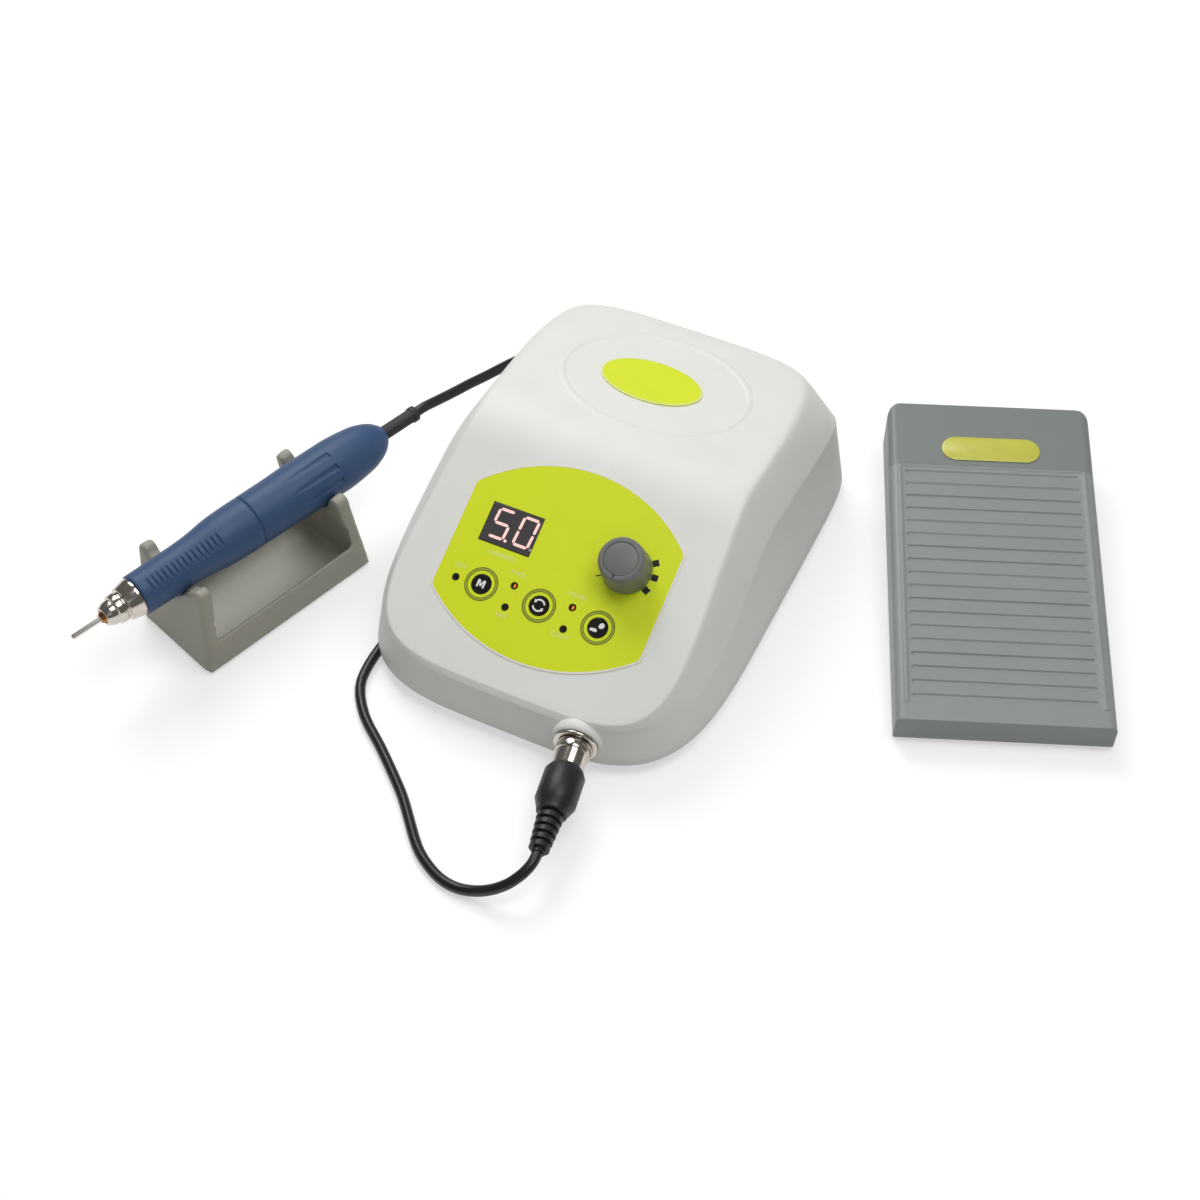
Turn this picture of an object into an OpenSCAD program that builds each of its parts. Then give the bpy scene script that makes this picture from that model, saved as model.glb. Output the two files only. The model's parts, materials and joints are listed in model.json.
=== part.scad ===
// Dental laboratory micromotor: control unit, handpiece lying in its cradle, and foot pedal.
// Millimetres, +Z up. The origin is the centre of the control unit's footprint, on the table.

/* [Control unit] */
// Width of the housing at its foot
unit_w = 171; // [168:1:176]
// Length of the housing at its foot
unit_l = 222; // [218:1:226]
// Wall thickness of the housing
wall = 2.5; // [2:0.1:3]
// Height of the rubber feet
foot_h = 5.6; // [5.5:0.1:7]
// Inward lean of the outer walls, in degrees
wall_draft = 6.5; // [5:0.5:7]
// Slope of the front face, in degrees
face_slope = 25.5; // [23:0.5:27]
// Height of the sloping face above the front edge of the foot
front_h = 27.5; // [27:0.5:30]
// Distance from the front edge to where the slope starts to level out
crest_from_front = 97.5; // [96:0.5:100]
// Length over which the slope levels out
crest_run = 30; // [26:1:34]
// Fall of the rear top towards the back, in degrees
rear_fall = 6; // [4:0.5:7]
// Depth of the shoulder below the top, at the sides
side_drop = 21; // [19:1:24]
// Width of the shoulder in plan, at the sides
side_inset = 18; // [14:1:20]
// Thickness of the sheet-metal chassis
chassis_t = 2; // [1.5:0.1:2.5]

/* [Front panel] */
// Distance from the front edge to the middle of the panel's datum line
panel_from_front = 54; // [53:0.5:55]
// Width of the panel
panel_w = 104; // [98:1:106]
// Height of the panel's straight sides above the datum line
panel_up = 31; // [28:1:33]
// Depth of the panel's straight sides below the datum line
panel_down = 20.5; // [18:0.5:22]
// Rise of the panel's top arc
panel_top_rise = 22; // [16:1:23]
// Drop of the panel's bottom arc
panel_bottom_drop = 20; // [14:1:21]
// Thickness of the panel sheet
panel_t = 0.8; // [0.6:0.1:1.2]
// Depth of the panel's recess in the housing
recess_d = 0.5; // [0.3:0.1:0.7]
// Width of the speed display
display_w = 25; // [20:0.5:26]
// Height of the speed display
display_h = 18.6; // [16:0.2:20]
// Distance between neighbouring keys
key_pitch = 28.8; // [26:0.2:30]
// Radius of a key
key_r = 4.5; // [4:0.1:5.5]
// Travel of a key
key_travel = 0.6; // [0.3:0.1:0.8]
// Radius of the speed knob at its foot
knob_r = 11.5; // [10:0.5:12]
// Radius of the speed knob at its top
knob_top_r = 9.8; // [9:0.1:10]
// Height of the speed knob
knob_h = 16; // [14:0.5:20]

/* [Handpiece] */
// Radius of a bur's shank
shank_r = 1.175; // [1.1:0.005:1.2]
// Radius of the front sleeve at the nose
sleeve_nose_r = 10; // [9.8:0.1:10.4]
// Radius of the two sleeves at their seam
sleeve_seam_r = 12.7; // [12.5:0.1:13]
// Largest radius of the rear sleeve
sleeve_tail_r = 13.2; // [13:0.1:13.8]
// Length of the front sleeve
front_sleeve_l = 64; // [60:1:66]
// Length of the rear sleeve
rear_sleeve_l = 82; // [80:1:90]
// Length of the metal nose
nose_l = 17.5; // [16:0.5:19]
// Length of shank that stands out of the collet
shank_out = 15; // [10:1:25]
// Diameter of the cord
cord_d = 5; // [4.6:0.1:5]

/* [Cradle] */
// Length of the cradle
cradle_l = 98; // [94:1:104]
// Width of the cradle
cradle_w = 53; // [50:1:56]
// Height of the prongs
prong_h = 49.5; // [48:0.5:52]
// Height of the cradle's low side walls
cradle_side_h = 18; // [16:1:20]
// Thickness of the end plates
plate_t = 7; // [6:0.5:8]
// Inward lean of the end plates, in degrees
plate_lean = 7; // [5:0.5:9]

/* [Pedal] */
// Width of the pedal
pedal_w = 98; // [94:1:104]
// Length of the pedal
pedal_l = 178.5; // [172:0.5:186]
// Height of the pedal at the heel
heel_h = 17; // [16:0.5:19]
// Height of the pedal at the toe
toe_h = 35; // [33:0.5:37]
// Thickness of the treadle's skin
treadle_t = 3; // [2.5:0.1:3.5]
// Number of grip grooves across the treadle
groove_count = 18; // [12:1:20]
// Travel of the treadle, in degrees
treadle_travel = 3.5; // [2:0.1:4]

/* [Fits] */
// Running clearance of a shaft in its bore
run_fit = 0.05; // [0.02:0.01:0.08]
// Clearance between parts that only sit beside each other
seat_gap = 0.3; // [0.2:0.05:0.4]

/* [Hidden] */
$fn = 64;

// Colours
housing_white = [0.90, 0.91, 0.89];
panel_green = [0.78, 0.85, 0.12];
key_black = [0.06, 0.06, 0.06];
knob_grey = [0.36, 0.37, 0.38];
board_green = [0.10, 0.32, 0.18];
nickel = [0.78, 0.77, 0.74];
steel = [0.62, 0.63, 0.65];
bronze = [0.66, 0.45, 0.28];
sleeve_blue = [0.16, 0.24, 0.40];
cradle_grey = [0.50, 0.50, 0.45];
treadle_grey = [0.50, 0.55, 0.54];
base_cream = [0.74, 0.74, 0.69];
cord_black = [0.05, 0.05, 0.05];

// Housing outline: a rounded rectangle whose squareness differs front to back
half_w = unit_w/2;
half_l = unit_l/2;
front_square = 4;
rear_square = 9;
top_front_square = 6.4;
top_rear_square = 2.8;
ring_n = 64;
front_drop = 1.6;
rear_drop = 28;
front_inset = 3;
rear_inset = 9;
foot_round = 1.2;
foot_band = 2;
edge_steep = 1.55;
edge_soft = 0.12;
outer_shares = [0, 0.25, 0.5, 0.6, 0.7, 0.82, 1];
inner_shares = [0, 0.5, 0.7, 1];
roof_scales = [0.86, 0.72, 0.58, 0.44, 0.3, 0.15];
inner_scales = [0.7, 0.4];
front_rise = tan(face_slope);
rear_rise = -tan(rear_fall);
lean = tan(wall_draft);
crest_y = crest_from_front - half_l;

function mix(a, b, s) = a + (b - a)*s;
function square_of(t, f, r) = sin(t) < 0 ? f : r;
function reach(t, a, b, n) = pow(pow(abs(cos(t))/a, n) + pow(abs(sin(t))/b, n), -1/n);
function spot(t, a, b, n) = reach(t, a, b, n)*[cos(t), sin(t)];
function side_share(t) = pow(reach(t, half_w, half_l, square_of(t, front_square, rear_square))
    *abs(cos(t))/half_w, square_of(t, front_square, rear_square));
// Height of the top along the unit's length
function roof(y) = let(t = min(max(y - crest_y, 0), crest_run))
    front_h + (min(y, crest_y) + half_l)*front_rise + front_rise*t
    + (rear_rise - front_rise)*t*t/(2*crest_run) + rear_rise*max(y - crest_y - crest_run, 0);
function drop_at(t) = mix(sin(t) < 0 ? front_drop : rear_drop, side_drop, side_share(t));
function inset_at(t) = mix(sin(t) < 0 ? front_inset : rear_inset, side_inset, side_share(t));
// Share of the shoulder's drop that is left at share s of its width: a flat band, then a firm edge
function falling(s) = let(l = 1 - edge_steep*s) (l + sqrt(l*l + edge_soft*edge_soft))/2;
function drop_share(s) = (falling(s) - s*falling(1))/falling(0);
function belt_z(t) = roof(spot(t, half_w, half_l, square_of(t, front_square, rear_square))[1])
    - drop_at(t);
// One point of the skin; d is how far the skin lies inside the outer one
function wall_point(t, z, in, d) = let(i = in + d,
    p = spot(t, half_w - i, half_l - i, square_of(t, front_square, rear_square))) [p[0], p[1], z];
function shoulder_point(t, s, d) =
    let(i = belt_z(t)*lean + inset_at(t)*s + d,
        n = square_of(t, mix(front_square, top_front_square, s), mix(rear_square, top_rear_square, s)),
        p = spot(t, half_w - i, half_l - i, n))
    [p[0], p[1], roof(p[1]) - drop_at(t)*drop_share(s) - d];
function roof_point(t, f, d) = let(p = shoulder_point(t, 1, d)) [p[0]*f, p[1]*f, roof(p[1]*f) - d];
function ring_angles() = [for (k = [0:ring_n - 1]) 360*k/ring_n];
function outer_rings() = concat(
    [[for (t = ring_angles()) wall_point(t, foot_h, foot_round, 0)]],
    [[for (t = ring_angles()) wall_point(t, foot_h + foot_band, 0, 0)]],
    [for (s = outer_shares) [for (t = ring_angles()) shoulder_point(t, s, 0)]],
    [for (f = roof_scales) [for (t = ring_angles()) roof_point(t, f, 0)]]);
function inner_rings() = concat(
    [[for (t = ring_angles()) wall_point(t, foot_h, 0, wall)]],
    [for (s = inner_shares) [for (t = ring_angles()) shoulder_point(t, s, wall)]],
    [for (f = inner_scales) [for (t = ring_angles()) roof_point(t, f, wall)]]);
function flat(list) = [for (a = list) for (b = a) b];
// Triangles between ring i and ring j of n points, and a fan from ring i to one apex
function band(i, j, n) = [for (k = [0:n - 1], h = [0, 1])
    h == 0 ? [i + k, j + k, i + (k + 1)%n] : [i + (k + 1)%n, j + k, j + (k + 1)%n]];
function fan(i, apex, n) = [for (k = [0:n - 1]) [i + k, apex, i + (k + 1)%n]];
function turned(faces) = [for (f = faces) [f[2], f[1], f[0]]];

// The housing as one hollow skin, open underneath
module housing_shell() {
    outer = outer_rings();
    inner = inner_rings();
    n = ring_n;
    outer_count = len(outer);
    inner_count = len(inner);
    inner_from = outer_count*n;
    apex = (outer_count + inner_count)*n;
    points = concat(flat(outer), flat(inner), [[0, 0, roof(0)], [0, 0, roof(0) - wall]]);
    faces = concat(
        [for (k = [0:outer_count - 2]) each band(k*n, (k + 1)*n, n)],
        fan((outer_count - 1)*n, apex, n),
        [for (k = [0:inner_count - 2]) each turned(band(inner_from + k*n, inner_from + (k + 1)*n, n))],
        turned(fan(inner_from + (inner_count - 1)*n, apex + 1, n)),
        turned(band(0, inner_from, n)));
    polyhedron(points, faces, convexity = 10);
}

// Frames of the sloping face, the rear top, the socket, the handpiece, the cradle and the pedal
panel_y = panel_from_front - half_l;
panel_z = roof(panel_y);
badge_y = half_l - 57;
badge_x = -3;
badge_a = 25.2;
badge_b = 14.6;
badge_t = 0.6;
oval_x = -1;
oval_a = 47;
oval_b = 35;
oval_w = 1.6;
oval_h = 0.4;
socket_x = 37.5;
socket_z = 18;
socket_turn = 10;
socket_out = 3.6;
socket_y = -half_l*pow(1 - pow(socket_x/half_w, front_square), 1/front_square)
    + socket_z*lean - socket_out;
stand_x = -144.5;
stand_y = -83.2;
stand_turn = 70.5;
axis_z = 46.2;
axis_tilt = 1.1;
pedal_x = 170;
pedal_y = 65.3;
pedal_turn = 22.3;

module at_panel(u = 0, v = 0, lift = 0) {
    translate([0, panel_y, panel_z])
        rotate([face_slope, 0, 0])
            translate([u, v, lift])
                children();
}

module at_rear_top() {
    translate([0, badge_y, roof(badge_y)])
        rotate([-rear_fall, 0, 0])
            children();
}

module at_socket() {
    translate([socket_x, socket_y, socket_z])
        rotate([90, 0, socket_turn])
            children();
}

module at_stand() {
    translate([stand_x, stand_y, 0])
        rotate([0, 0, stand_turn])
            children();
}

// Along the handpiece: +Z runs from the nose to the tail, and +X points down
module at_handpiece() {
    translate([stand_x, stand_y, axis_z])
        rotate([0, 90 + axis_tilt, stand_turn])
            children();
}

module at_pedal() {
    translate([pedal_x, pedal_y, 0])
        rotate([0, 0, pedal_turn])
            children();
}

// A block of the given size, centred in plan and standing on z = 0
module block(size) {
    translate([-size[0]/2, -size[1]/2, 0])
        cube(size);
}

module ring(r_out, r_in, h) {
    difference() {
        cylinder(r = r_out, h = h);
        translate([0, 0, -1])
            cylinder(r = r_in, h = h + 2);
    }
}

function ellipse(a, b, n) = [for (k = [0:n - 1]) [a*cos(360*k/n), b*sin(360*k/n)]];

// Values of the front panel and what stands behind it
roof_t = wall*cos(face_slope);
panel_top = panel_t - recess_d;
board_lift = -13;
board_t = 1.6;
board_w = 100;
board_h = 58;
board_v = 3;
post_u = 45;
post_v_up = 27;
post_v_down = -21;
post_r = 3;
display_u = -27;
display_v = 15.3;
key_u = -29.5;
key_v = -13;
knob_u = 30;
knob_v = 16;
knob_lift = 1;
shaft_r = 3;
bush_r = 3.5;
led_r = 1.5;
led_spots = [[-42, -14], [-15, -8.5], [-15, -19], [13.8, -8.5], [13.8, -19]];
top_arc_r = (pow(panel_w/2, 2) + pow(panel_top_rise, 2))/(2*panel_top_rise);
bottom_arc_r = (pow(panel_w/2, 2) + pow(panel_bottom_drop, 2))/(2*panel_bottom_drop);

// The panel's outline, grown by g, from lift z to z + t
module panel_outline(g, z, t) {
    intersection() {
        translate([-panel_w/2 - g, -panel_w, z])
            cube([panel_w + 2*g, 2*panel_w, t]);
        translate([0, panel_up + panel_top_rise - top_arc_r, z])
            cylinder(r = top_arc_r + g, h = t, $fn = 180);
        translate([0, -panel_down - panel_bottom_drop + bottom_arc_r, z])
            cylinder(r = bottom_arc_r + g, h = t, $fn = 180);
    }
}

// Holes through the sloping face, each grown by g
module face_holes(g) {
    depth = 8;
    translate([display_u, display_v, -depth/2])
        block([display_w + 2*g, display_h + 2*g, depth]);
    for (k = [0:2])
        translate([key_u + k*key_pitch, key_v, -depth/2])
            cylinder(r = key_r + g, h = depth);
    for (p = led_spots)
        translate([p[0], p[1], -depth/2])
            cylinder(r = led_r + g, h = depth);
    translate([knob_u, knob_v, -depth/2])
        cylinder(r = bush_r + g, h = depth);
}

// Values of the chassis and the rear panel
plate_z = foot_h + 0.2;
plate_top = plate_z + chassis_t;
boss_r = 4;
boss_x = half_w - 45.5;
boss_rear_x = half_w - 37.5;
boss_y = -half_l + 25;
boss_rear_y = half_l - 45;
boss_spots = [[boss_x, boss_y, 2], [-boss_x, boss_y, 2],
    [boss_rear_x, boss_rear_y, 1.2], [-boss_rear_x, boss_rear_y, 1.2]];
foot_x = half_w - 27.5;
foot_rear_x = half_w - 23.5;
foot_y = -half_l + 33;
foot_rear_y = half_l - 27;
foot_spots = [[foot_x, foot_y], [-foot_x, foot_y], [foot_rear_x, foot_rear_y],
    [-foot_rear_x, foot_rear_y]];
foot_r = 7;
rear_in = 8.5;
rear_y = half_l - rear_in;
rear_w = 112;
rear_h = 42;
rear_z = 22;
inlet_x = -32;
inlet_w = 27;
inlet_h = 20;
rocker_x = 4;
rocker_w = 19;
rocker_h = 13;
fuse_x = 25;
fuse_r = 6;
jack_x = 44;
jack_r = 4;
jack_bore_r = 3.2;
jack_l = 14;
screw_r = 1.5;
screw_head_r = 2.8;
screw_head_h = 1.8;
collar_r = 11.5;
socket_r = 9.4;
socket_lip = 1.5;
standoff_h = 6;
driver_spot = [42, half_l - 83];
driver_w = 60;
driver_l = 60;
standoff_r = 3;

module chassis_outline(h) {
    inset = wall + seat_gap + lean*foot_band;
    linear_extrude(h)
        polygon([for (t = ring_angles()) let(p = wall_point(t, 0, inset, 0)) [p[0], p[1]]]);
}

// Sub-parts of the control unit
module upper_housing() {
    color(housing_white)
    difference() {
        union() {
            housing_shell();
            for (p = boss_spots)
                translate([p[0], p[1], plate_top])
                    cylinder(r = boss_r, h = roof(p[1]) - p[2] - plate_top);
            at_panel()
                for (u = [-post_u, post_u], v = [post_v_down, post_v_up])
                    translate([u, v, board_lift])
                        cylinder(r = post_r, h = -board_lift - roof_t/2 - recess_d/2);
            at_rear_top()
                translate([oval_x, 0, -1])
                    difference() {
                        linear_extrude(1 + oval_h)
                            polygon(ellipse(oval_a, oval_b, 72));
                        translate([0, 0, -1])
                            linear_extrude(4)
                                polygon(ellipse(oval_a - oval_w, oval_b - oval_w, 72));
                    }
            at_socket()
                translate([0, 0, nut_from])
                    cylinder(r = collar_r, h = -nut_from - socket_lip);
        }
        for (p = boss_spots)
            translate([p[0], p[1], plate_top - 1])
                cylinder(r = screw_r + run_fit, h = 13);
        at_panel() {
            panel_outline(0.15, -recess_d, 5);
            face_holes(seat_gap);
            for (u = [-post_u, post_u], v = [post_v_down, post_v_up])
                translate([u, v, board_lift - 1])
                    cylinder(r = screw_r + run_fit, h = 8);
        }
        at_socket()
            translate([0, 0, -socket_depth - seat_gap])
                cylinder(r = socket_r + 0.2, h = 30);
        translate([0, half_l, -1])
            block([rear_w + 2*seat_gap, 2*(rear_in + 6), plate_z + rear_h + seat_gap + 1]);
    }
}

module chassis() {
    color(steel)
    difference() {
        union() {
            translate([0, 0, plate_z])
                difference() {
                    chassis_outline(chassis_t);
                    translate([0, half_l, -1])
                        block([unit_w, 2*rear_in, chassis_t + 2]);
                }
            translate([0, rear_y - chassis_t/2, plate_z])
                block([rear_w, chassis_t, rear_h]);
            for (sx = [-1, 1], sy = [-1, 1])
                translate([driver_spot[0] + sx*(driver_w/2 - 5),
                    driver_spot[1] + sy*(driver_l/2 - 5), plate_z])
                    cylinder(r = standoff_r, h = chassis_t + standoff_h);
        }
        for (p = boss_spots)
            translate([p[0], p[1], 0])
                cylinder(r = screw_r + 0.2, h = 20);
        translate([socket_x, -half_l, 0])
            block([28, 35, 20]);
        translate([0, rear_y, rear_z]) {
            translate([inlet_x, 0, -inlet_h/2 - 0.1])
                block([inlet_w + 0.2, 20, inlet_h + 0.2]);
            translate([rocker_x, 0, -rocker_h/2 - 0.1])
                block([rocker_w + 0.2, 20, rocker_h + 0.2]);
            translate([fuse_x, 10, 0])
                rotate([90, 0, 0])
                    cylinder(r = fuse_r + 0.1, h = 20);
            translate([jack_x, 10, 0])
                rotate([90, 0, 0])
                    cylinder(r = jack_r + 0.1, h = 20);
        }
    }
}

module unit_feet() {
    color(cord_black)
    for (p = foot_spots)
        translate([p[0], p[1], 0])
            difference() {
                cylinder(r1 = foot_r - 0.8, r2 = foot_r, h = plate_z);
                translate([0, 0, -1])
                    cylinder(r = screw_head_r, h = 2);
            }
}

// A pan-head screw whose head rests on z = 0 and whose shank rises to length l
module screw_up(l) {
    translate([0, 0, -screw_head_h])
        difference() {
            cylinder(r = screw_head_r, h = screw_head_h);
            translate([-screw_head_r, -0.4, -1])
                cube([2*screw_head_r, 0.8, 1.7]);
        }
    cylinder(r = screw_r, h = l);
}

module screws() {
    color(steel) {
        for (p = boss_spots)
            translate([p[0], p[1], plate_z])
                screw_up(chassis_t + 10);
        at_panel()
            for (u = [-post_u, post_u], v = [post_v_down, post_v_up])
                translate([u, v, board_lift - board_t])
                    screw_up(board_t + 6);
    }
}

module panel_overlay() {
    color(panel_green)
    at_panel()
        difference() {
            panel_outline(0, -recess_d, panel_t);
            face_holes(seat_gap);
        }
}

module display_module() {
    color([0.16, 0.16, 0.17])
    at_panel(display_u, display_v, board_lift)
        block([display_w, display_h, -board_lift - recess_d - 0.7]);
}

module display_window() {
    color([0.28, 0.27, 0.29])
    at_panel(display_u, display_v, -recess_d - 0.7)
        block([display_w, display_h, 0.7 + panel_t]);
}

module speed_knob() {
    rim = 2;
    cap_d = 1.2;
    color(knob_grey)
    at_panel(knob_u, knob_v, knob_lift)
        difference() {
            union() {
                cylinder(r1 = knob_r, r2 = knob_top_r + 0.6, h = knob_h - 1.5);
                translate([0, 0, knob_h - 1.5])
                    cylinder(r1 = knob_top_r + 0.6, r2 = knob_top_r - 0.4, h = 1.5);
            }
            translate([0, 0, knob_h - cap_d])
                cylinder(r = knob_top_r - rim, h = cap_d + 1);
            translate([0, 0, -1])
                cylinder(r = 2*bush_r + 0.5, h = 5);
            translate([0, 0, -1])
                cylinder(r = shaft_r + 0.02, h = knob_h - cap_d - 2);
            translate([-0.7, -knob_top_r - 1, knob_h - 1.2])
                cube([1.4, 3.6, 3]);
        }
}

module knob_cap() {
    color([0.42, 0.43, 0.44])
    at_panel(knob_u, knob_v, knob_lift + knob_h - 1.2)
        cylinder(r = knob_top_r - 2 - 0.1, h = 1);
}

module pot_shaft() {
    color(steel)
    at_panel(knob_u, knob_v, board_lift + 3)
        cylinder(r = shaft_r, h = knob_lift + knob_h - 1.2 - 3 - board_lift - 3);
}

module potentiometer() {
    body_r = 8;
    bush_top = 4;
    color(steel)
    at_panel(knob_u, knob_v, 0)
        difference() {
            union() {
                translate([0, 0, board_lift])
                    cylinder(r = body_r, h = -board_lift - roof_t - 0.05);
                translate([0, 0, board_lift])
                    cylinder(r = bush_r, h = bush_top - board_lift);
                translate([0, 0, panel_top])
                    cylinder(r = 2*bush_r - 1, h = 2.2, $fn = 6);
            }
            translate([0, 0, board_lift + 3 - run_fit])
                cylinder(r = shaft_r + run_fit, h = 30);
        }
}

// Key number k: a disc with a retaining flange under the face and a stem over its switch
module key(k) {
    flange_t = 1.2;
    color(key_black)
    at_panel(key_u + k*key_pitch, key_v, 0) {
        translate([0, 0, -roof_t - 0.1])
            cylinder(r = key_r, h = roof_t + 0.1 + panel_top + 0.2);
        translate([0, 0, panel_top + 0.2])
            cylinder(r1 = key_r, r2 = key_r - 0.5, h = 0.4);
        translate([0, 0, -roof_t - 0.1 - flange_t])
            cylinder(r = key_r + 1.6, h = flange_t);
        translate([0, 0, switch_top + key_travel + 0.1])
            cylinder(r = 2, h = -switch_top - key_travel - 0.1 - roof_t - 0.1 - flange_t/2);
    }
}
switch_h = 4.6;
switch_w = 6;
switch_body_h = 3.4;
switch_top = board_lift + switch_h;

module memory_key() { key(0); }
module reverse_key() { key(1); }
module mode_key() { key(2); }

module key_switches() {
    color([0.2, 0.2, 0.22])
    for (k = [0:2])
        at_panel(key_u + k*key_pitch, key_v, board_lift) {
            block([switch_w, switch_w, switch_body_h]);
            cylinder(r = 1.7, h = switch_h);
        }
}

module indicator_leds() {
    color([0.75, 0.2, 0.12])
    for (p = led_spots)
        at_panel(p[0], p[1], board_lift) {
            cylinder(r = 1.9, h = 1);
            cylinder(r = led_r, h = -board_lift + panel_top - 0.4);
            translate([0, 0, -board_lift + panel_top - 0.4])
                cylinder(r1 = led_r, r2 = led_r - 0.6, h = 0.5);
        }
}

module control_board() {
    color(board_green)
    at_panel(0, board_v, board_lift - board_t)
        difference() {
            block([board_w, board_h, board_t]);
            for (u = [-post_u, post_u], v = [post_v_down, post_v_up])
                translate([u, v - board_v, -1])
                    cylinder(r = screw_r + 0.2, h = board_t + 2);
        }
}

// Transformer: a laminated core with two windows, and the coil round its middle leg
core_spot = [-34, half_l - 77];
core_w = 60;
core_d = 30;
core_h = 50;
leg_w = 16;
window_w = 12;
window_h = 30;
coil_over = 22;

module transformer() {
    color(steel)
    translate([core_spot[0], core_spot[1], plate_top])
        difference() {
            block([core_w, core_d, core_h]);
            for (s = [-1, 1])
                translate([s*(leg_w + window_w)/2, 0, (core_h - window_h)/2])
                    block([window_w, core_d + 2, window_h]);
        }
}

module transformer_coil() {
    gap = 0.2;
    color(bronze)
    translate([core_spot[0], core_spot[1], plate_top + (core_h - window_h)/2 + gap])
        difference() {
            block([leg_w + 2*window_w - 2*gap, core_d + coil_over, window_h - 2*gap]);
            translate([0, 0, -1])
                block([leg_w + 2*gap, core_d + 2*gap, window_h + 2]);
        }
}

cap_r = 8;
cap_h = 26;
cap_spots = [[-15, 16], [-15, -6]];
fin_count = 6;
fin_pitch = 4;
fin_t = 1.6;
fin_l = 44;
fin_h = 24;
fin_x = 8;

module driver_board() {
    top = plate_top + standoff_h;
    color(board_green)
    translate([driver_spot[0], driver_spot[1], top]) {
        block([driver_w, driver_l, board_t]);
        for (p = cap_spots)
            translate([p[0], p[1], 0])
                cylinder(r = cap_r, h = board_t + cap_h);
        for (k = [0:fin_count - 1])
            translate([fin_x + k*fin_pitch, 0, 0])
                block([fin_t, fin_l, board_t + fin_h]);
        translate([fin_x + (fin_count - 1)*fin_pitch/2, 0, 0])
            block([fin_count*fin_pitch, fin_l, board_t + 3]);
    }
}

inlet_lip = 2;
inlet_depth = 22;
inlet_cavity = [23.6, 16.4, 16];

module power_inlet() {
    color(key_black)
    translate([inlet_x, rear_y, rear_z])
        difference() {
            union() {
                translate([0, inlet_lip/2, -inlet_h/2 - 1.8])
                    block([inlet_w + 4, inlet_lip, inlet_h + 3.6]);
                translate([0, -inlet_depth/2, -inlet_h/2])
                    block([inlet_w, inlet_depth, inlet_h]);
            }
            translate([0, inlet_lip - inlet_cavity[2]/2 + 0.5, -inlet_cavity[1]/2])
                block([inlet_cavity[0], inlet_cavity[2] + 1, inlet_cavity[1]]);
        }
}

module inlet_pins() {
    floor_y = inlet_lip - inlet_cavity[2];
    color(nickel)
    translate([inlet_x, rear_y + floor_y, rear_z])
        for (p = [[-7, 1], [0, 5], [7, 1]])
            translate([p[0], 6, p[1] - 2])
                block([2, 12, 4]);
}

rocker_pivot_in = 1.5;
rocker_tilt = 8;

module rocker_frame() {
    color(key_black)
    translate([rocker_x, rear_y, rear_z])
        difference() {
            union() {
                translate([0, 1, -rocker_h/2 - 1.2])
                    block([rocker_w + 2.4, 2, rocker_h + 2.4]);
                translate([0, -8, -rocker_h/2])
                    block([rocker_w, 16, rocker_h]);
            }
            translate([0, 0, -rocker_h/2 + 1])
                block([rocker_w - 3.4, 14, rocker_h - 2]);
            translate([-rocker_w, -rocker_pivot_in, 0])
                rotate([0, 90, 0])
                    cylinder(r = 1.2 + run_fit, h = 2*rocker_w);
        }
}

module power_rocker() {
    color([0.6, 0.08, 0.06])
    translate([rocker_x, rear_y - rocker_pivot_in, rear_z])
        rotate([-rocker_tilt, 0, 0]) {
            translate([-rocker_w/2 + 0.4, 0, 0])
                rotate([0, 90, 0])
                    cylinder(r = 1.2, h = rocker_w - 0.8);
            rotate([0, 90, 0])
                translate([0, 0, -(rocker_w - 4)/2])
                    linear_extrude(rocker_w - 4)
                        polygon([[-4.2, -1.5], [4.2, -1.5], [4.2, 5.4], [0, 4.2], [-4.2, 5.4]]);
        }
}

module fuse_holder() {
    color(key_black)
    translate([fuse_x, rear_y, rear_z])
        rotate([-90, 0, 0]) {
            translate([0, 0, -26])
                cylinder(r = fuse_r, h = 27);
            difference() {
                cylinder(r = fuse_r + 1.6, h = 6);
                translate([-fuse_r - 2, -0.6, 4.8])
                    cube([2*fuse_r + 4, 1.2, 2]);
            }
        }
}

module pedal_jack() {
    color(nickel)
    translate([jack_x, rear_y, rear_z])
        rotate([-90, 0, 0])
            difference() {
                union() {
                    translate([0, 0, -jack_l])
                        cylinder(r = jack_r, h = jack_l + 3);
                    cylinder(r = jack_r + 2, h = 2, $fn = 6);
                    translate([0, 0, -jack_l - 2])
                        cylinder(r = jack_r + 2.5, h = jack_l + 2 - chassis_t - 0.05);
                }
                translate([0, 0, 3 - jack_l])
                    cylinder(r = jack_bore_r, h = jack_l + 1);
            }
}

barrel_r = 7.2;
nut_from = -socket_out - wall - 6;
socket_depth = 18;

module motor_socket() {
    color(nickel)
    at_socket()
        difference() {
            union() {
                translate([0, 0, -socket_depth])
                    cylinder(r = socket_r, h = socket_depth - socket_lip);
                translate([0, 0, -socket_lip])
                    cylinder(r = collar_r - 1.3, h = socket_lip - 0.5);
                translate([0, 0, -0.5])
                    cylinder(r1 = collar_r - 1.3, r2 = collar_r - 1.8, h = 0.5);
            }
            translate([0, 0, -12])
                cylinder(r = barrel_r + 0.2, h = 20);
        }
}

module socket_nut() {
    color(nickel)
    at_socket()
        translate([0, 0, nut_from - 3])
            difference() {
                cylinder(r = socket_r + 1.8, h = 3);
                translate([0, 0, -1])
                    cylinder(r = socket_r + 0.02, h = 5);
            }
}

module top_badge() {
    color(panel_green)
    at_rear_top()
        translate([badge_x, 0, 0])
            linear_extrude(badge_t)
                polygon(ellipse(badge_a, badge_b, 72));
}

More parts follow.
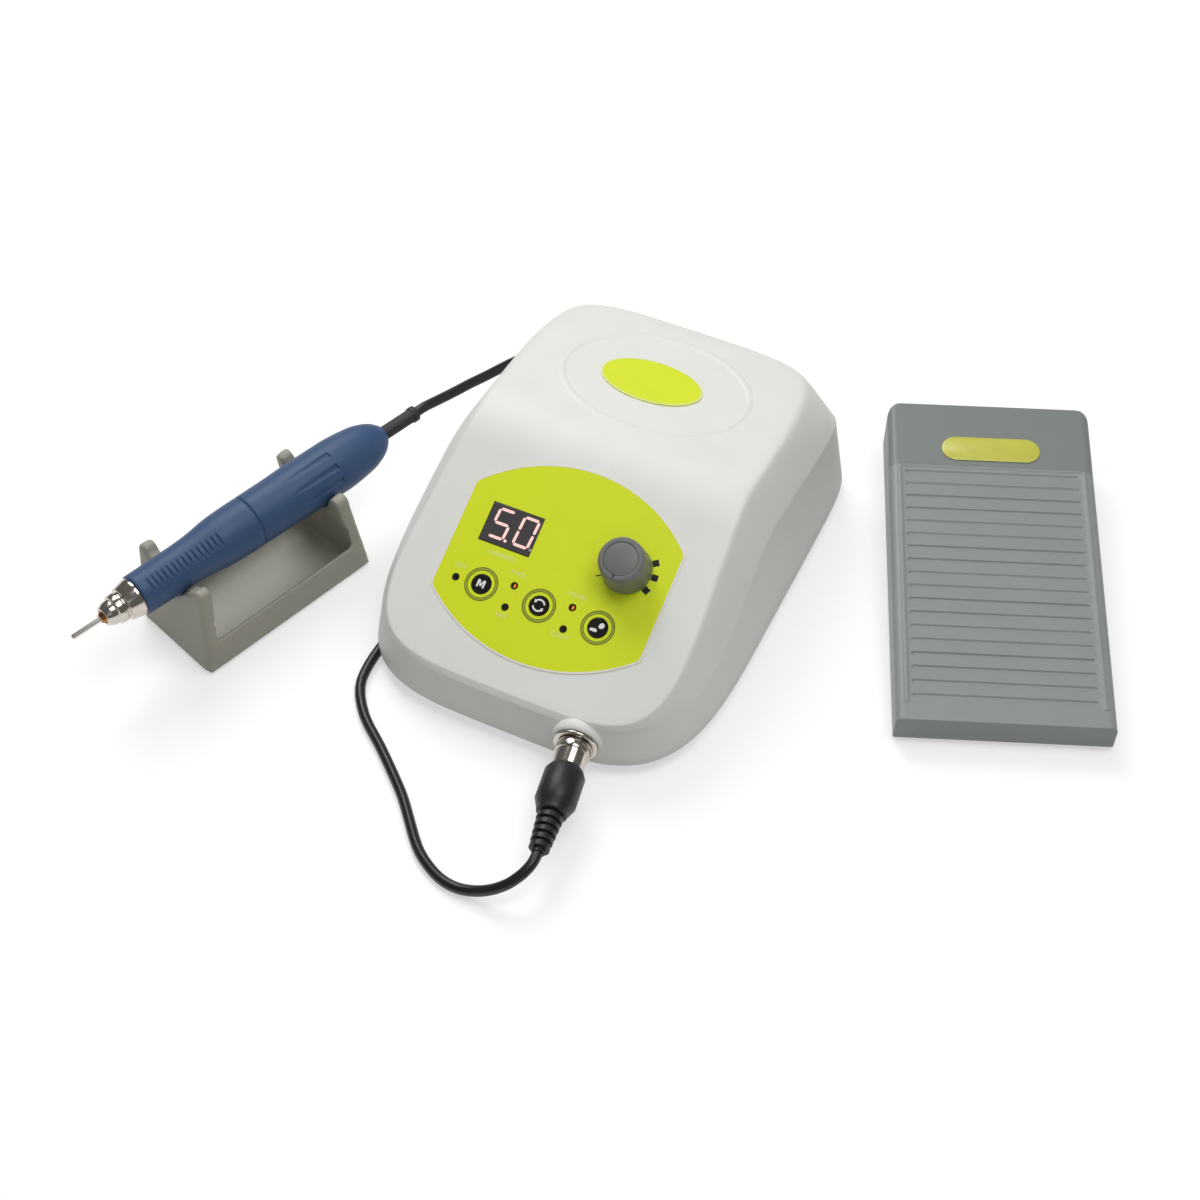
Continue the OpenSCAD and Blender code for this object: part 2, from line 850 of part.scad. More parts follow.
// Plug of the handpiece cord
grip_from = 12.5;
grip_l = 24;
grip_r = 9.2;
relief_l = 20;
relief_r = 5.8;
relief_end_r = 4.6;
relief_end = grip_from + grip_l + relief_l;
rib_count = 5;

module plug_barrel() {
    color(nickel)
    at_socket()
        difference() {
            union() {
                translate([0, 0, -11])
                    cylinder(r = barrel_r, h = 11 + grip_from);
                translate([0, 0, 0.3])
                    cylinder(r = barrel_r + 0.9, h = 4.4);
            }
            translate([0, 0, -12])
                cylinder(r = barrel_r - 1.2, h = 10);
        }
}

module plug_grip() {
    color(cord_black)
    at_socket()
        translate([0, 0, grip_from])
            rotate_extrude()
                polygon([[0, 0], [barrel_r + 0.3, 0], [grip_r, 3.3], [grip_r, grip_l - 6.3],
                    [relief_r + 1.2, grip_l - 1.2], [relief_r + 1.2, grip_l], [0, grip_l]]);
}

// Ribs shrink towards the cord
module plug_relief() {
    pitch = (relief_l - 2)/rib_count;
    color(cord_black)
    at_socket()
        translate([0, 0, grip_from + grip_l])
            rotate_extrude()
                polygon(concat([[0, 0]],
                    [for (k = [0:rib_count - 1], e = [0:3])
                        let(r = mix(relief_r, relief_end_r, k/(rib_count - 1)))
                        [e < 2 ? r - 1.1 : r, k*pitch + [0, 0.38, 0.42, 1][e]*pitch]],
                    [[cord_d/2 + 0.4, relief_l - 2], [cord_d/2 + 0.4, relief_l], [0, relief_l]]));
}

// The cord. Its route was chosen by hand; the hidden length is wound in a hank behind the unit.
cord_r = cord_d/2;
cord_z = 2.6;
hank_spot = [-24, 133.5];
hank_straight = 60;
hank_r = 20;
hank_gap = 0.6;
hank_base = 3.6;
hank_layer = cord_d + hank_gap;
hank_pitch = cord_d + hank_gap;
hank_turns = 2.625;
turn_steps = 24;
bend_steps = 9;
run_steps = 3;
hank_sides = 6;
tube_sides = 10;
spans = 2;
relief_tip = [socket_x, socket_y, socket_z]
    + relief_end*[sin(socket_turn), -cos(socket_turn), 0];
// Stations of the handpiece's seam and tail along its axis, from the cradle's middle
seam_a = 2.6;
tail_a = seam_a + rear_sleeve_l;
tail_end = tail_a + 19.4;
tail_dir = [cos(stand_turn)*cos(axis_tilt), sin(stand_turn)*cos(axis_tilt), -sin(axis_tilt)];
tail_tip = [stand_x, stand_y, axis_z] + (tail_end + seat_gap)*tail_dir;
// Where the hank starts and ends, each with one straight diameter
hank_start = [hank_spot[0] - hank_straight/2 - cord_d, hank_spot[1] + hank_r, hank_base];
hank_end = [hank_spot[0] - hank_straight/2 - cord_d, hank_spot[1] - hank_r, hank_base + hank_layer];
front_route = concat(
    [relief_tip],
    [[47.4, -171.8, 17.6], [46.2, -176.3, 16.4], [43.8, -180.2, 14.5], [40.6, -183.3, 12.1],
     [35.3, -186.1, 8.7], [28.4, -188, 5.3], [19.9, -189, 3.1], [11.2, -187.8, cord_z],
     [2.5, -183.8, cord_z], [-5.5, -178, cord_z], [-14.8, -168, cord_z], [-23, -159, cord_z],
     [-32, -150.8, cord_z], [-46, -139, cord_z], [-60, -128, cord_z],
     [-70, -115, cord_z], [-73, -102, cord_z], [-73, -86, cord_z], [-72.5, -66, cord_z],
     [-73, -42, cord_z], [-73, -18, cord_z], [-73, 6, cord_z], [-73, 30, cord_z],
     [-73.5, 54, cord_z], [-75, 76, cord_z], [-77, 96, cord_z], [-80, 113, cord_z],
     [-82, 127, cord_z], [-79.5, 140, cord_z], [-72, 150, 2.9]],
    [hank_start - [4, 0.3, 0.2], hank_start]);
rear_route = concat(
    [hank_end],
    [hank_end - [8, 0, -0.4], [-76, 111, 12.5], [-83, 103, 18.5], [-87, 91, 26],
     [-88.5, 78, 32.5], [-91.5, 67, 35.5], [-94.5, 58, 37.2], [-98, 48.5, 39],
     [-101, 39.5, 40.6], [-104.5, 30, 42.2]],
    [tail_tip + 6*tail_dir, tail_tip]);

// A smooth curve through the route's points
function before(p, k) = k == 0 ? 2*p[0] - p[1] : p[k - 1];
function after(p, k) = k + 2 > len(p) - 1 ? 2*p[len(p) - 1] - p[len(p) - 2] : p[k + 2];
function curve(a, b, c, d, s) = 0.5*(2*b + (c - a)*s + (2*a - 5*b + 4*c - d)*s*s
    + (3*b - a - 3*c + d)*s*s*s);
function smooth(p) = concat(
    [for (k = [0:len(p) - 2], h = [0:spans - 1])
        curve(before(p, k), p[k], p[k + 1], after(p, k), h/spans)],
    [p[len(p) - 1]]);
// Hank: long loops that spiral in on the lower layer and out again on the upper one, and climb in
// the half turn where the spiral reverses. Step k runs along the far side, round the right end,
// back along the near side and round the left end.
hank_steps = hank_turns*turn_steps;
function hank_in(k) = hank_pitch*min(k, hank_steps - k)/turn_steps;
function climb(k) = let(s = min(max((k - hank_steps/2)/turn_steps + 0.5, 0), 1)) s*s*(3 - 2*s);
function run_share(k, from) = min(max((k - from)/run_steps, 0), 1);
function bend_share(k, from) = min(max((k - from)/bend_steps, 0), 1);
function hank_x(j) = run_share(j, 0) - run_share(j, run_steps + bend_steps) - 0.5;
function hank_turn(j) = 180*(bend_share(j, run_steps) + bend_share(j, 2*run_steps + bend_steps));
function hank_point(k) = let(j = k%turn_steps, r = hank_r - hank_in(k), a = hank_turn(j))
    [hank_spot[0] + hank_straight*hank_x(j) + r*sin(a), hank_spot[1] + r*cos(a),
     hank_base + hank_layer*climb(k)];
hank_path = concat([hank_start], [for (k = [0:hank_steps]) hank_point(k)], [hank_end]);
// Least gap between turns, measured on points at least half a turn apart
hank_least = min([for (i = [1:hank_steps - turn_steps/2], j = [i + turn_steps/2:hank_steps + 1])
    norm(hank_path[i] - hank_path[j])]) - cord_d;
echo("least gap between the hank's turns", hank_least);
function path_length(p) = len(p) < 2 ? 0 : [for (k = 0, s = 0; k < len(p);
    s = s + (k + 1 < len(p) ? norm(p[k + 1] - p[k]) : 0), k = k + 1) s][len(p) - 1];
echo("length of the cord", path_length(smooth(front_route)) + path_length(hank_path)
    + path_length(smooth(rear_route)));

function unit(v) = v/norm(v);
function heading(p, k) = unit(p[min(k + 1, len(p) - 1)] - p[max(k - 1, 0)]);
function across(d) = unit(cross(d, [0, 0, 1]));
// A tube of n sides swept along the points p
module tube(p, r, n) {
    rings = [for (k = [0:len(p) - 1])
        let(d = heading(p, k), x = across(d), y = cross(x, d))
        [for (i = [0:n - 1]) p[k] + r*(cos(360*i/n)*x + sin(360*i/n)*y)]];
    last = len(p)*n;
    polyhedron(concat(flat(rings), [p[0], p[len(p) - 1]]), concat(
        [for (k = [0:len(p) - 2]) each band(k*n, (k + 1)*n, n)],
        turned(fan(0, last, n)), fan((len(p) - 1)*n, last + 1, n)), convexity = 10);
}

module cord_front() {
    color(cord_black)
    tube(smooth(front_route), cord_r, tube_sides);
}

module cord_hank() {
    color(cord_black)
    tube(hank_path, cord_r, hank_sides);
}

module cord_rear() {
    color(cord_black)
    tube(smooth(rear_route), cord_r, tube_sides);
}

tie_t = 0.8;
tie_w = 5;
// The tie's outline round the strands, grown by g; its far top corner is cut off
module tie_outline(g, w) {
    far = hank_r + cord_r + 0.8;
    high = hank_base + hank_layer + cord_r + 0.4;
    rotate([90, 0, 90])
        linear_extrude(w)
            polygon([[-far - g, tie_t - g], [far + g, tie_t - g], [far + g, high/2 + 0.36*g],
                [far - 5.1 + 0.48*g, high + g], [-far - g, high + g]]);
}

module hank_tie() {
    color([0.12, 0.12, 0.12])
    translate([hank_spot[0] + 12, hank_spot[1], 0])
        difference() {
            translate([-tie_w/2, 0, 0])
                tie_outline(tie_t, tie_w);
            translate([-tie_w/2 - 1, 0, 0])
                tie_outline(0, tie_w + 2);
        }
}

// Handpiece stations along its axis, from the cradle's middle
sleeve_a = seam_a - front_sleeve_l;
nose_a = sleeve_a - nose_l;
bur_in = 22;
barrel_out = 8.2;
barrel_in = 6.6;
collet_r = 3;
collet_l = 32;
spindle_r = 2.5;
case_r = 11.2;
case_t = 1;
case_from = seam_a + 3;
case_l = rear_sleeve_l - 22;
stator_t = 2.6;
rotor_gap = 0.4;
bearing_t = 6;

module nose_cone() {
    tip = 4.4;
    color(nickel)
    at_handpiece()
        translate([0, 0, nose_a])
            rotate_extrude()
                polygon([[collet_r + 0.3, 0], [tip, 0], [tip + 1.3, 2.4], [tip + 1.6, 4.4],
                    [tip + 1.6, 5.2], [tip + 2.6, 5.6], [tip + 2.9, 8.6], [tip + 2.4, 9],
                    [tip + 2.4, 10], [tip + 3.6, 10.4], [sleeve_nose_r - 0.6, nose_l - 1.5],
                    [sleeve_nose_r - 0.6, nose_l - seat_gap], [barrel_out, nose_l - seat_gap],
                    [barrel_out, nose_l + 2], [collet_r + 0.3, nose_l + 2]]);
}

module inner_barrel() {
    from = sleeve_a + 2;
    color(steel)
    at_handpiece()
        translate([0, 0, from]) {
            ring(barrel_out, barrel_in, case_from - from);
            translate([0, 0, case_from - from])
                ring(case_r - case_t, spindle_r + 1.2, 2);
        }
}

module collet() {
    color(bronze)
    at_handpiece()
        translate([0, 0, nose_a - 1.5])
            difference() {
                union() {
                    cylinder(r1 = 2.1, r2 = collet_r, h = 1.6);
                    translate([0, 0, 1.6])
                        cylinder(r = collet_r, h = collet_l - 1.6);
                }
                translate([0, 0, -1])
                    cylinder(r = shank_r + 0.025, h = collet_l - 4);
                for (a = [0, 60, 120])
                    rotate([0, 0, a])
                        translate([-collet_r - 1, -0.15, -1])
                            cube([2*collet_r + 2, 0.3, 9]);
            }
}

module bur() {
    color(steel)
    at_handpiece()
        translate([0, 0, nose_a - 1.5 - shank_out]) {
            cylinder(r1 = shank_r - 0.4, r2 = shank_r, h = 0.5);
            translate([0, 0, 0.5])
                cylinder(r = shank_r, h = shank_out + bur_in - 0.5);
        }
}

// Stations of the front sleeve: distance from its front edge, and radius there
sleeve_line = [[0.6, sleeve_nose_r], [0.27*front_sleeve_l, sleeve_nose_r + 0.2],
    [0.46*front_sleeve_l, sleeve_nose_r + 0.4], [0.58*front_sleeve_l, sleeve_nose_r + 1],
    [0.7*front_sleeve_l, sleeve_seam_r - 0.5], [0.83*front_sleeve_l, sleeve_seam_r - 0.1],
    [front_sleeve_l - 1, sleeve_seam_r]];
// The grips are turned from the top towards the user's hand
grip_turn = 34.5;

module front_sleeve() {
    groove_n = 15;
    groove_pitch = 0.042*front_sleeve_l;
    groove_at = 0.0875*front_sleeve_l;
    groove_w = 0.9;
    groove_l = 7;
    color(sleeve_blue)
    at_handpiece()
        translate([0, 0, sleeve_a])
            difference() {
                rotate_extrude()
                    polygon(concat([[barrel_out + run_fit, 0], [sleeve_nose_r - 0.5, 0]],
                        [for (p = sleeve_line) [p[1], p[0]]],
                        [[sleeve_seam_r - 0.4, front_sleeve_l - 0.2],
                        [barrel_out + run_fit, front_sleeve_l - 0.2]]));
                // Short cross grooves on two opposite sides
                for (k = [0:groove_n - 1], side = [0, 180])
                    rotate([0, 0, grip_turn + side])
                        translate([0.8 - 2 - lookup(groove_at + k*groove_pitch, sleeve_line), -groove_l/2,
                            groove_at + k*groove_pitch - groove_w/2])
                            cube([2, groove_l, groove_w]);
            }
}

module rear_sleeve() {
    flute_from = 0.245*rear_sleeve_l;
    flute_l = 0.323*rear_sleeve_l;
    flute_r = 2.2;
    flute_d = 0.9;
    flute_skim = 0.25;
    flute_lean = atan((flute_d - flute_skim)/flute_l);
    flute_turn = 31.5;
    color(sleeve_blue)
    at_handpiece()
        translate([0, 0, seam_a])
            difference() {
                rotate_extrude()
                    polygon([[0, 0], [sleeve_seam_r - 0.4, 0], [sleeve_seam_r, 0.8],
                        [sleeve_seam_r + 0.1, 0.2*rear_sleeve_l],
                        [sleeve_tail_r, 0.35*rear_sleeve_l], [sleeve_tail_r, 0.64*rear_sleeve_l],
                        [0.955*sleeve_tail_r, 0.73*rear_sleeve_l],
                        [0.88*sleeve_tail_r, 0.825*rear_sleeve_l],
                        [0.77*sleeve_tail_r, 0.88*rear_sleeve_l],
                        [0.655*sleeve_tail_r, 0.925*rear_sleeve_l],
                        [0.5*sleeve_tail_r, 0.962*rear_sleeve_l],
                        [0.32*sleeve_tail_r, 0.985*rear_sleeve_l], [0, 0.985*rear_sleeve_l]]);
                translate([0, 0, -1])
                    cylinder(r = case_r + 0.02, h = case_from + case_l - seam_a + 1);
                cylinder(r = cord_r + 1, h = 2*rear_sleeve_l);
                // Scoops on two opposite sides that deepen towards the tail
                for (a = [-1:1], side = [0, 180])
                    rotate([0, 0, side + grip_turn + 9 + a*flute_turn])
                        translate([sleeve_tail_r - flute_skim + flute_r, 0, flute_from])
                            rotate([0, -flute_lean, 0])
                                cylinder(r = flute_r, h = flute_l);
            }
}

module motor_case() {
    color(steel)
    at_handpiece()
        translate([0, 0, case_from]) {
            ring(case_r, case_r - case_t, case_l);
            translate([0, 0, case_l - 2])
                ring(case_r, 3.2, 2);
        }
}

stator_from = case_from + 8;
stator_l = case_l - 22;
magnet_r = case_r - case_t;

module stator() {
    color([0.22, 0.22, 0.24])
    at_handpiece()
        translate([0, 0, stator_from])
            ring(magnet_r - 0.02, magnet_r - stator_t, stator_l);
}

module rotor() {
    color(bronze)
    at_handpiece()
        translate([0, 0, stator_from + 1])
            ring(magnet_r - stator_t - rotor_gap, spindle_r + 0.01, stator_l - 2);
}

rear_bearing_a = stator_from + stator_l + 6;

module spindle() {
    from = nose_a - 1.5 + collet_l;
    color(steel)
    at_handpiece()
        translate([0, 0, from])
            cylinder(r = spindle_r, h = rear_bearing_a + bearing_t + 1 - from);
}

module bearings() {
    color(nickel)
    at_handpiece() {
        for (a = [nose_a - 1.5 + collet_l + 3, seam_a - 8])
            translate([0, 0, a])
                ring(barrel_in - 0.02, spindle_r + run_fit, bearing_t);
        translate([0, 0, rear_bearing_a])
            ring(magnet_r - 0.02, spindle_r + run_fit, bearing_t);
    }
}

module cord_sleeve() {
    out_r = cord_r + 0.9;
    from = case_from + case_l + 0.1;
    color([0.2, 0.2, 0.2])
    at_handpiece()
        difference() {
            union() {
                translate([0, 0, from])
                    cylinder(r = out_r, h = tail_end - from);
                translate([0, 0, tail_end - 3])
                    cylinder(r = out_r + 0.5, h = 3);
            }
            translate([0, 0, from - 1])
                cylinder(r = cord_r - 0.6, h = tail_end - from);
        }
}

// Cradle: a low trough between two leaning end plates, each notched for the handpiece
prong_r = 3.5;
prong_y = cradle_w/2 - prong_r - 3.2;
cradle_pad = 1;
trough_floor = 3;
side_t = 2.6;
sleeve_at_near = sleeve_nose_r + 0.4;

module end_plate() {
    translate([-cradle_l/2, 0, cradle_pad])
        rotate([0, plate_lean, 0])
            rotate([90, 0, 90])
                linear_extrude(plate_t)
                    union() {
                        polygon([[-cradle_w/2, 0], [cradle_w/2, 0],
                            [prong_y + prong_r, prong_h - prong_r],
                            [-prong_y - prong_r, prong_h - prong_r]]);
                        for (s = [-1, 1])
                            translate([s*prong_y, prong_h - prong_r])
                                circle(r = prong_r);
                    }
}

// A notch along the handpiece's axis: round below, opening out to the prongs above
module notch(r, from, l) {
    at_handpiece()
        translate([0, 0, from]) {
            cylinder(r = r, h = l);
            linear_extrude(l)
                polygon([[r*sin(40), -r*cos(40)], [r*sin(40), r*cos(40)],
                    [-2.4, prong_y - prong_r], [-30, prong_y - prong_r],
                    [-30, -prong_y + prong_r], [-2.4, -prong_y + prong_r]]);
        }
}

module cradle() {
    trough_w = cradle_w - 2*side_t;
    cove = 9;
    color(cradle_grey)
    difference() {
        at_stand()
            difference() {
                union() {
                    end_plate();
                    mirror([1, 0, 0])
                        end_plate();
                    translate([0, 0, cradle_pad])
                        block([cradle_l - plate_t, cradle_w, cradle_side_h]);
                    for (s = [-1, 1])
                        translate([s*(cradle_l/2 - plate_t), 0, cradle_pad])
                            block([plate_t, cradle_w - 2, cradle_side_h - 2]);
                }
                // Coved trough
                translate([-cradle_l/2 + plate_t + 1.5, 0, cradle_pad + trough_floor])
                    rotate([90, 0, 90])
                        linear_extrude(cradle_l - 2*plate_t - 3)
                            union() {
                                translate([-trough_w/2, cove])
                                    square([trough_w, cradle_side_h]);
                                translate([-trough_w/2 + cove, 0])
                                    square([trough_w - 2*cove, cove + 1]);
                                for (s = [-1, 1])
                                    translate([s*(trough_w/2 - cove), cove])
                                        circle(r = cove);
                            }
                translate([0, 0, -10])
                    block([2*cradle_l, 2*cradle_w, 10 + cradle_pad]);
            }
        notch(sleeve_at_near + seat_gap, -cradle_l/2 - 5, 30);
        notch(sleeve_tail_r + seat_gap, cradle_l/2 - 25, 30);
    }
}

module cradle_feet() {
    color(cord_black)
    at_stand()
        for (sx = [-1, 1], sy = [-1, 1])
            translate([sx*(cradle_l/2 - 12), sy*(cradle_w/2 - 9), 0])
                cylinder(r = 5, h = cradle_pad);
}

// Pedal: a tray, and a treadle hinged at its heel whose skirt covers the tray on all sides
pedal_pad = 2;
floor_t = 2.6;
tray_t = 2.6;
toe_r = 7;
half_pw = pedal_w/2;
half_pl = pedal_l/2;
pedal_rise = (toe_h - heel_h)/pedal_l;
pedal_tilt = atan(pedal_rise);
pivot_y = -half_pl + 10;
pivot_z = 9;
pivot_r = 2;
lug_x = 30;
lug_w = 6;
toe_drop = (half_pl - pivot_y)*sin(treadle_travel) + 1;
tray_in = treadle_t + 0.6;
edge_r = 4;
clear = 0.8;
spring_y = 45;
spring_r = 7;
spring_top = 25;
magnet_spot = [20, 0];
magnet_h = 4;
magnet_z = 14;
gland_z = 9;
gland_r = 5;
plain_l = 38;
frame_in = 5;
frame_w = 1.6;
sensor_w = 30;
sensor_l = 22;

function tread(y) = heel_h + (y + half_pl)*pedal_rise;
// How far the pressed treadle has come down at y, its skirt's lower edge and the tray's upper edge
function pressed(y) = max(y - pivot_y, 0)*tan(treadle_travel);
function skirt_low(y) = pedal_pad + clear + pressed(y);
function tray_high(y) = tread(y) - treadle_t - clear - pressed(y);

// Plan of the pedal with rounded toe corners, from y0 to the toe, inset by g
module toe_plan(g, y0, z, h) {
    r = toe_r - g;
    translate([0, 0, z])
        linear_extrude(h)
            union() {
                translate([-half_pw + g, y0])
                    square([pedal_w - 2*g, half_pl - toe_r - y0]);
                translate([-half_pw + toe_r, y0])
                    square([pedal_w - 2*toe_r, half_pl - g - y0]);
                for (s = [-1, 1])
                    translate([s*(half_pw - toe_r), half_pl - toe_r])
                        circle(r = r);
            }
}

// All that lies below the treadle's top, lowered by d
module under_tread(d) {
    translate([-pedal_w, 0, 0])
        rotate([90, 0, 90])
            linear_extrude(2*pedal_w)
                polygon([[-pedal_l, -1], [pedal_l, -1], [pedal_l, tread(pedal_l) - d],
                    [-pedal_l, tread(-pedal_l) - d]]);
}

// The treadle's sloping top with rounded side edges, and all that lies below it
module tread_form() {
    deep = 3*toe_h;
    translate([0, 0, tread(0)])
        rotate([90 + pedal_tilt, 0, 0])
            translate([0, 0, -pedal_l])
                linear_extrude(2*pedal_l)
                    union() {
                        translate([-half_pw, -deep])
                            square([pedal_w, deep - edge_r]);
                        translate([-half_pw + edge_r, -deep])
                            square([pedal_w - 2*edge_r, deep]);
                        for (s = [-1, 1])
                            translate([s*(half_pw - edge_r), -edge_r])
                                circle(r = edge_r);
                    }
}

// All that lies above the skirt's lower edge
module over_skirt() {
    translate([-pedal_w, 0, 0])
        rotate([90, 0, 90])
            linear_extrude(2*pedal_w)
                polygon([[-pedal_l, skirt_low(pivot_y)], [pivot_y, skirt_low(pivot_y)],
                    [pedal_l, skirt_low(pedal_l)], [pedal_l, 3*toe_h], [-pedal_l, 3*toe_h]]);
}

// The hinge's bore, open on the right so that the pin can be pushed in
module hinge_bore(g) {
    translate([-lug_x - lug_w - 4, pivot_y, pivot_z])
        rotate([0, 90, 0])
            cylinder(r = pivot_r + g, h = pedal_w);
}

module pedal_base() {
    wall_from = -half_pl + tray_in;
    wall_to = half_pl - toe_r - 1;
    end_y = half_pl - treadle_t - 2.5;
    color(base_cream)
    at_pedal()
        difference() {
            union() {
                toe_plan(tray_in, wall_from, pedal_pad, floor_t);
                for (s = [-1, 1])
                    translate([s*(half_pw - tray_in - tray_t/2) - tray_t/2, 0, 0])
                        rotate([90, 0, 90])
                            linear_extrude(tray_t)
                                polygon([[wall_from, pedal_pad], [wall_to, pedal_pad],
                                    [wall_to, tray_high(wall_to)], [pivot_y, tray_high(pivot_y)],
                                    [wall_from, tray_high(wall_from)]]);
                translate([0, end_y - tray_t/2, pedal_pad])
                    block([pedal_w - 2*tray_in - 24, tray_t, gland_z + gland_r + 1.5]);
                for (s = [-1, 1])
                    translate([s*lug_x, pivot_y, pedal_pad]) {
                        block([lug_w, 8, pivot_z - pedal_pad]);
                        translate([-lug_w/2, 0, pivot_z - pedal_pad])
                            rotate([0, 90, 0])
                                cylinder(r = 4, h = lug_w);
                    }
            }
            hinge_bore(0.01);
            translate([0, half_pl, 0])
                block([2*gland_r + 1, 2*(half_pl - end_y), gland_z]);
            translate([0, half_pl, gland_z])
                rotate([90, 0, 0])
                    cylinder(r = gland_r - 1.5 + 0.1, h = 20);
        }
}

module treadle() {
    groove_w = 2;
    groove_d = 0.8;
    field_from = -half_pl + 9;
    field_l = pedal_l - plain_l - 9;
    ear_x = lug_x + lug_w/2 + 0.5;
    line_x = half_pw - frame_in;
    function groove_y(k) = field_from + (k + 0.5)*field_l/groove_count;
    color(treadle_grey)
    at_pedal()
        difference() {
            union() {
                // Skin
                difference() {
                    intersection() {
                        toe_plan(0, -half_pl, 0, 2*toe_h);
                        tread_form();
                        over_skirt();
                    }
                    intersection() {
                        toe_plan(treadle_t, -half_pl + treadle_t, -1, 2*toe_h);
                        under_tread(treadle_t);
                    }
                }
                // Raised lines round the grooves
                intersection() {
                    difference() {
                        under_tread(-0.6);
                        under_tread(1);
                    }
                    union() {
                        for (s = [-1, 1])
                            translate([s*line_x, field_from + field_l/2, 0])
                                block([frame_w, field_l, 2*toe_h]);
                        translate([0, field_from + field_l, 0])
                            block([2*line_x + frame_w, frame_w, 2*toe_h]);
                    }
                }
                // Ears round the hinge pin
                for (s = [-1, 1])
                    translate([s*(ear_x + 2.5), pivot_y, pivot_z]) {
                        translate([-2.5, 0, 0])
                            rotate([0, 90, 0])
                                cylinder(r = 4, h = 5);
                        block([5, 8, tread(pivot_y) - 1 - pivot_z]);
                    }
                // Spring pad and magnet peg
                translate([0, spring_y, spring_top])
                    cylinder(r = spring_r + 1, h = tread(spring_y) - 1.5 - spring_top);
                translate([magnet_spot[0], magnet_spot[1], magnet_z])
                    cylinder(r = 4, h = tread(magnet_spot[1]) - 1.5 - magnet_z);
            }
            for (k = [0:groove_count - 1])
                translate([0, groove_y(k), tread(groove_y(k)) - groove_d])
                    block([2*line_x - frame_w - 4, groove_w, 4]);
            hinge_bore(run_fit);
            translate([0, half_pl, 0])
                block([2*gland_r + 8, 4*treadle_t, gland_z + gland_r + toe_drop + 2]);
        }
}

module hinge_pin() {
    color(steel)
    at_pedal()
        translate([-lug_x - lug_w - 4, pivot_y, pivot_z])
            rotate([0, 90, 0])
                cylinder(r = pivot_r, h = 2*(lug_x + lug_w + 4));
}

module return_spring() {
    color(steel)
    at_pedal()
        translate([0, spring_y, pedal_pad + floor_t])
            ring(spring_r, spring_r - 1.4, spring_top - pedal_pad - floor_t);
}

module pedal_sensor() {
    color(board_green)
    at_pedal()
        translate([magnet_spot[0], magnet_spot[1], pedal_pad + floor_t]) {
            block([sensor_w, sensor_l, board_t]);
            block([4, 4, board_t + 1.2]);
        }
}

module pedal_feet() {
    color(cord_black)
    at_pedal()
        for (sx = [-1, 1], y = [-half_pl + 18, half_pl - 30])
            translate([sx*(half_pw - 16), y, 0])
                cylinder(r = 7, h = pedal_pad);
}

badge_l = 47;
badge_h = 14;
pedal_badge_y = half_pl - 27;

module pedal_badge() {
    color(panel_green)
    at_pedal()
        translate([0, pedal_badge_y, tread(pedal_badge_y)])
            rotate([pedal_tilt, 0, 0])
                linear_extrude(0.6)
                    union() {
                        square([badge_l - badge_h, badge_h], center = true);
                        for (s = [-1, 1])
                            translate([s*(badge_l - badge_h)/2, 0])
                                circle(r = badge_h/2);
                    }
}

module pedal_gland() {
    tray_y = half_pl - treadle_t - 2.5;
    color(cord_black)
    at_pedal()
        translate([0, tray_y, gland_z])
            rotate([-90, 0, 0])
                difference() {
                    union() {
                        cylinder(r = gland_r, h = treadle_t + 2);
                        translate([0, 0, -tray_t - 2])
                            cylinder(r = gland_r - 1.5, h = tray_t + 3);
                    }
                    translate([0, 0, -10])
                        cylinder(r = 2, h = 30);
                }
}

upper_housing();
chassis();
unit_feet();
screws();
panel_overlay();
display_module();
display_window();
speed_knob();
knob_cap();
pot_shaft();
potentiometer();
memory_key();
reverse_key();
mode_key();
key_switches();
indicator_leds();
control_board();
transformer();
transformer_coil();
driver_board();
power_inlet();
inlet_pins();
rocker_frame();
power_rocker();
fuse_holder();
pedal_jack();
motor_socket();
socket_nut();
top_badge();
plug_barrel();
plug_grip();
plug_relief();
cord_front();
cord_hank();
hank_tie();
cord_rear();
nose_cone();
inner_barrel();
collet();
bur();
front_sleeve();
rear_sleeve();
motor_case();
stator();
rotor();
spindle();
bearings();
cord_sleeve();
cradle();
cradle_feet();
pedal_base();
treadle();
hinge_pin();
return_spring();
pedal_sensor();
pedal_feet();
pedal_badge();
pedal_gland();
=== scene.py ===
"""Looks of the dental laboratory micromotor set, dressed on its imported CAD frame."""
import json
import math

import bpy
from mathutils import Matrix, Vector


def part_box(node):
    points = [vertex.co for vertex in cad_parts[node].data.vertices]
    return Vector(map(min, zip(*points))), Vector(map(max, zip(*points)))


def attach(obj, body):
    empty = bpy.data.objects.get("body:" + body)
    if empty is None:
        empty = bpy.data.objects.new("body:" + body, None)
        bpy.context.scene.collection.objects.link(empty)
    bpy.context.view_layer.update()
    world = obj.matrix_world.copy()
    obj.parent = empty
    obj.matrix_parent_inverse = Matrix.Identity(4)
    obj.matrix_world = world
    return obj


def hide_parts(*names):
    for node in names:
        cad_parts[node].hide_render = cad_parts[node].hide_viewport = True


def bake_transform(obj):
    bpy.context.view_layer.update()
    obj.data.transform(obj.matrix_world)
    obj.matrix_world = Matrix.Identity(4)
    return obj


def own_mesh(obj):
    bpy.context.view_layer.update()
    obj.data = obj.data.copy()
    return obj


MM = 0.001

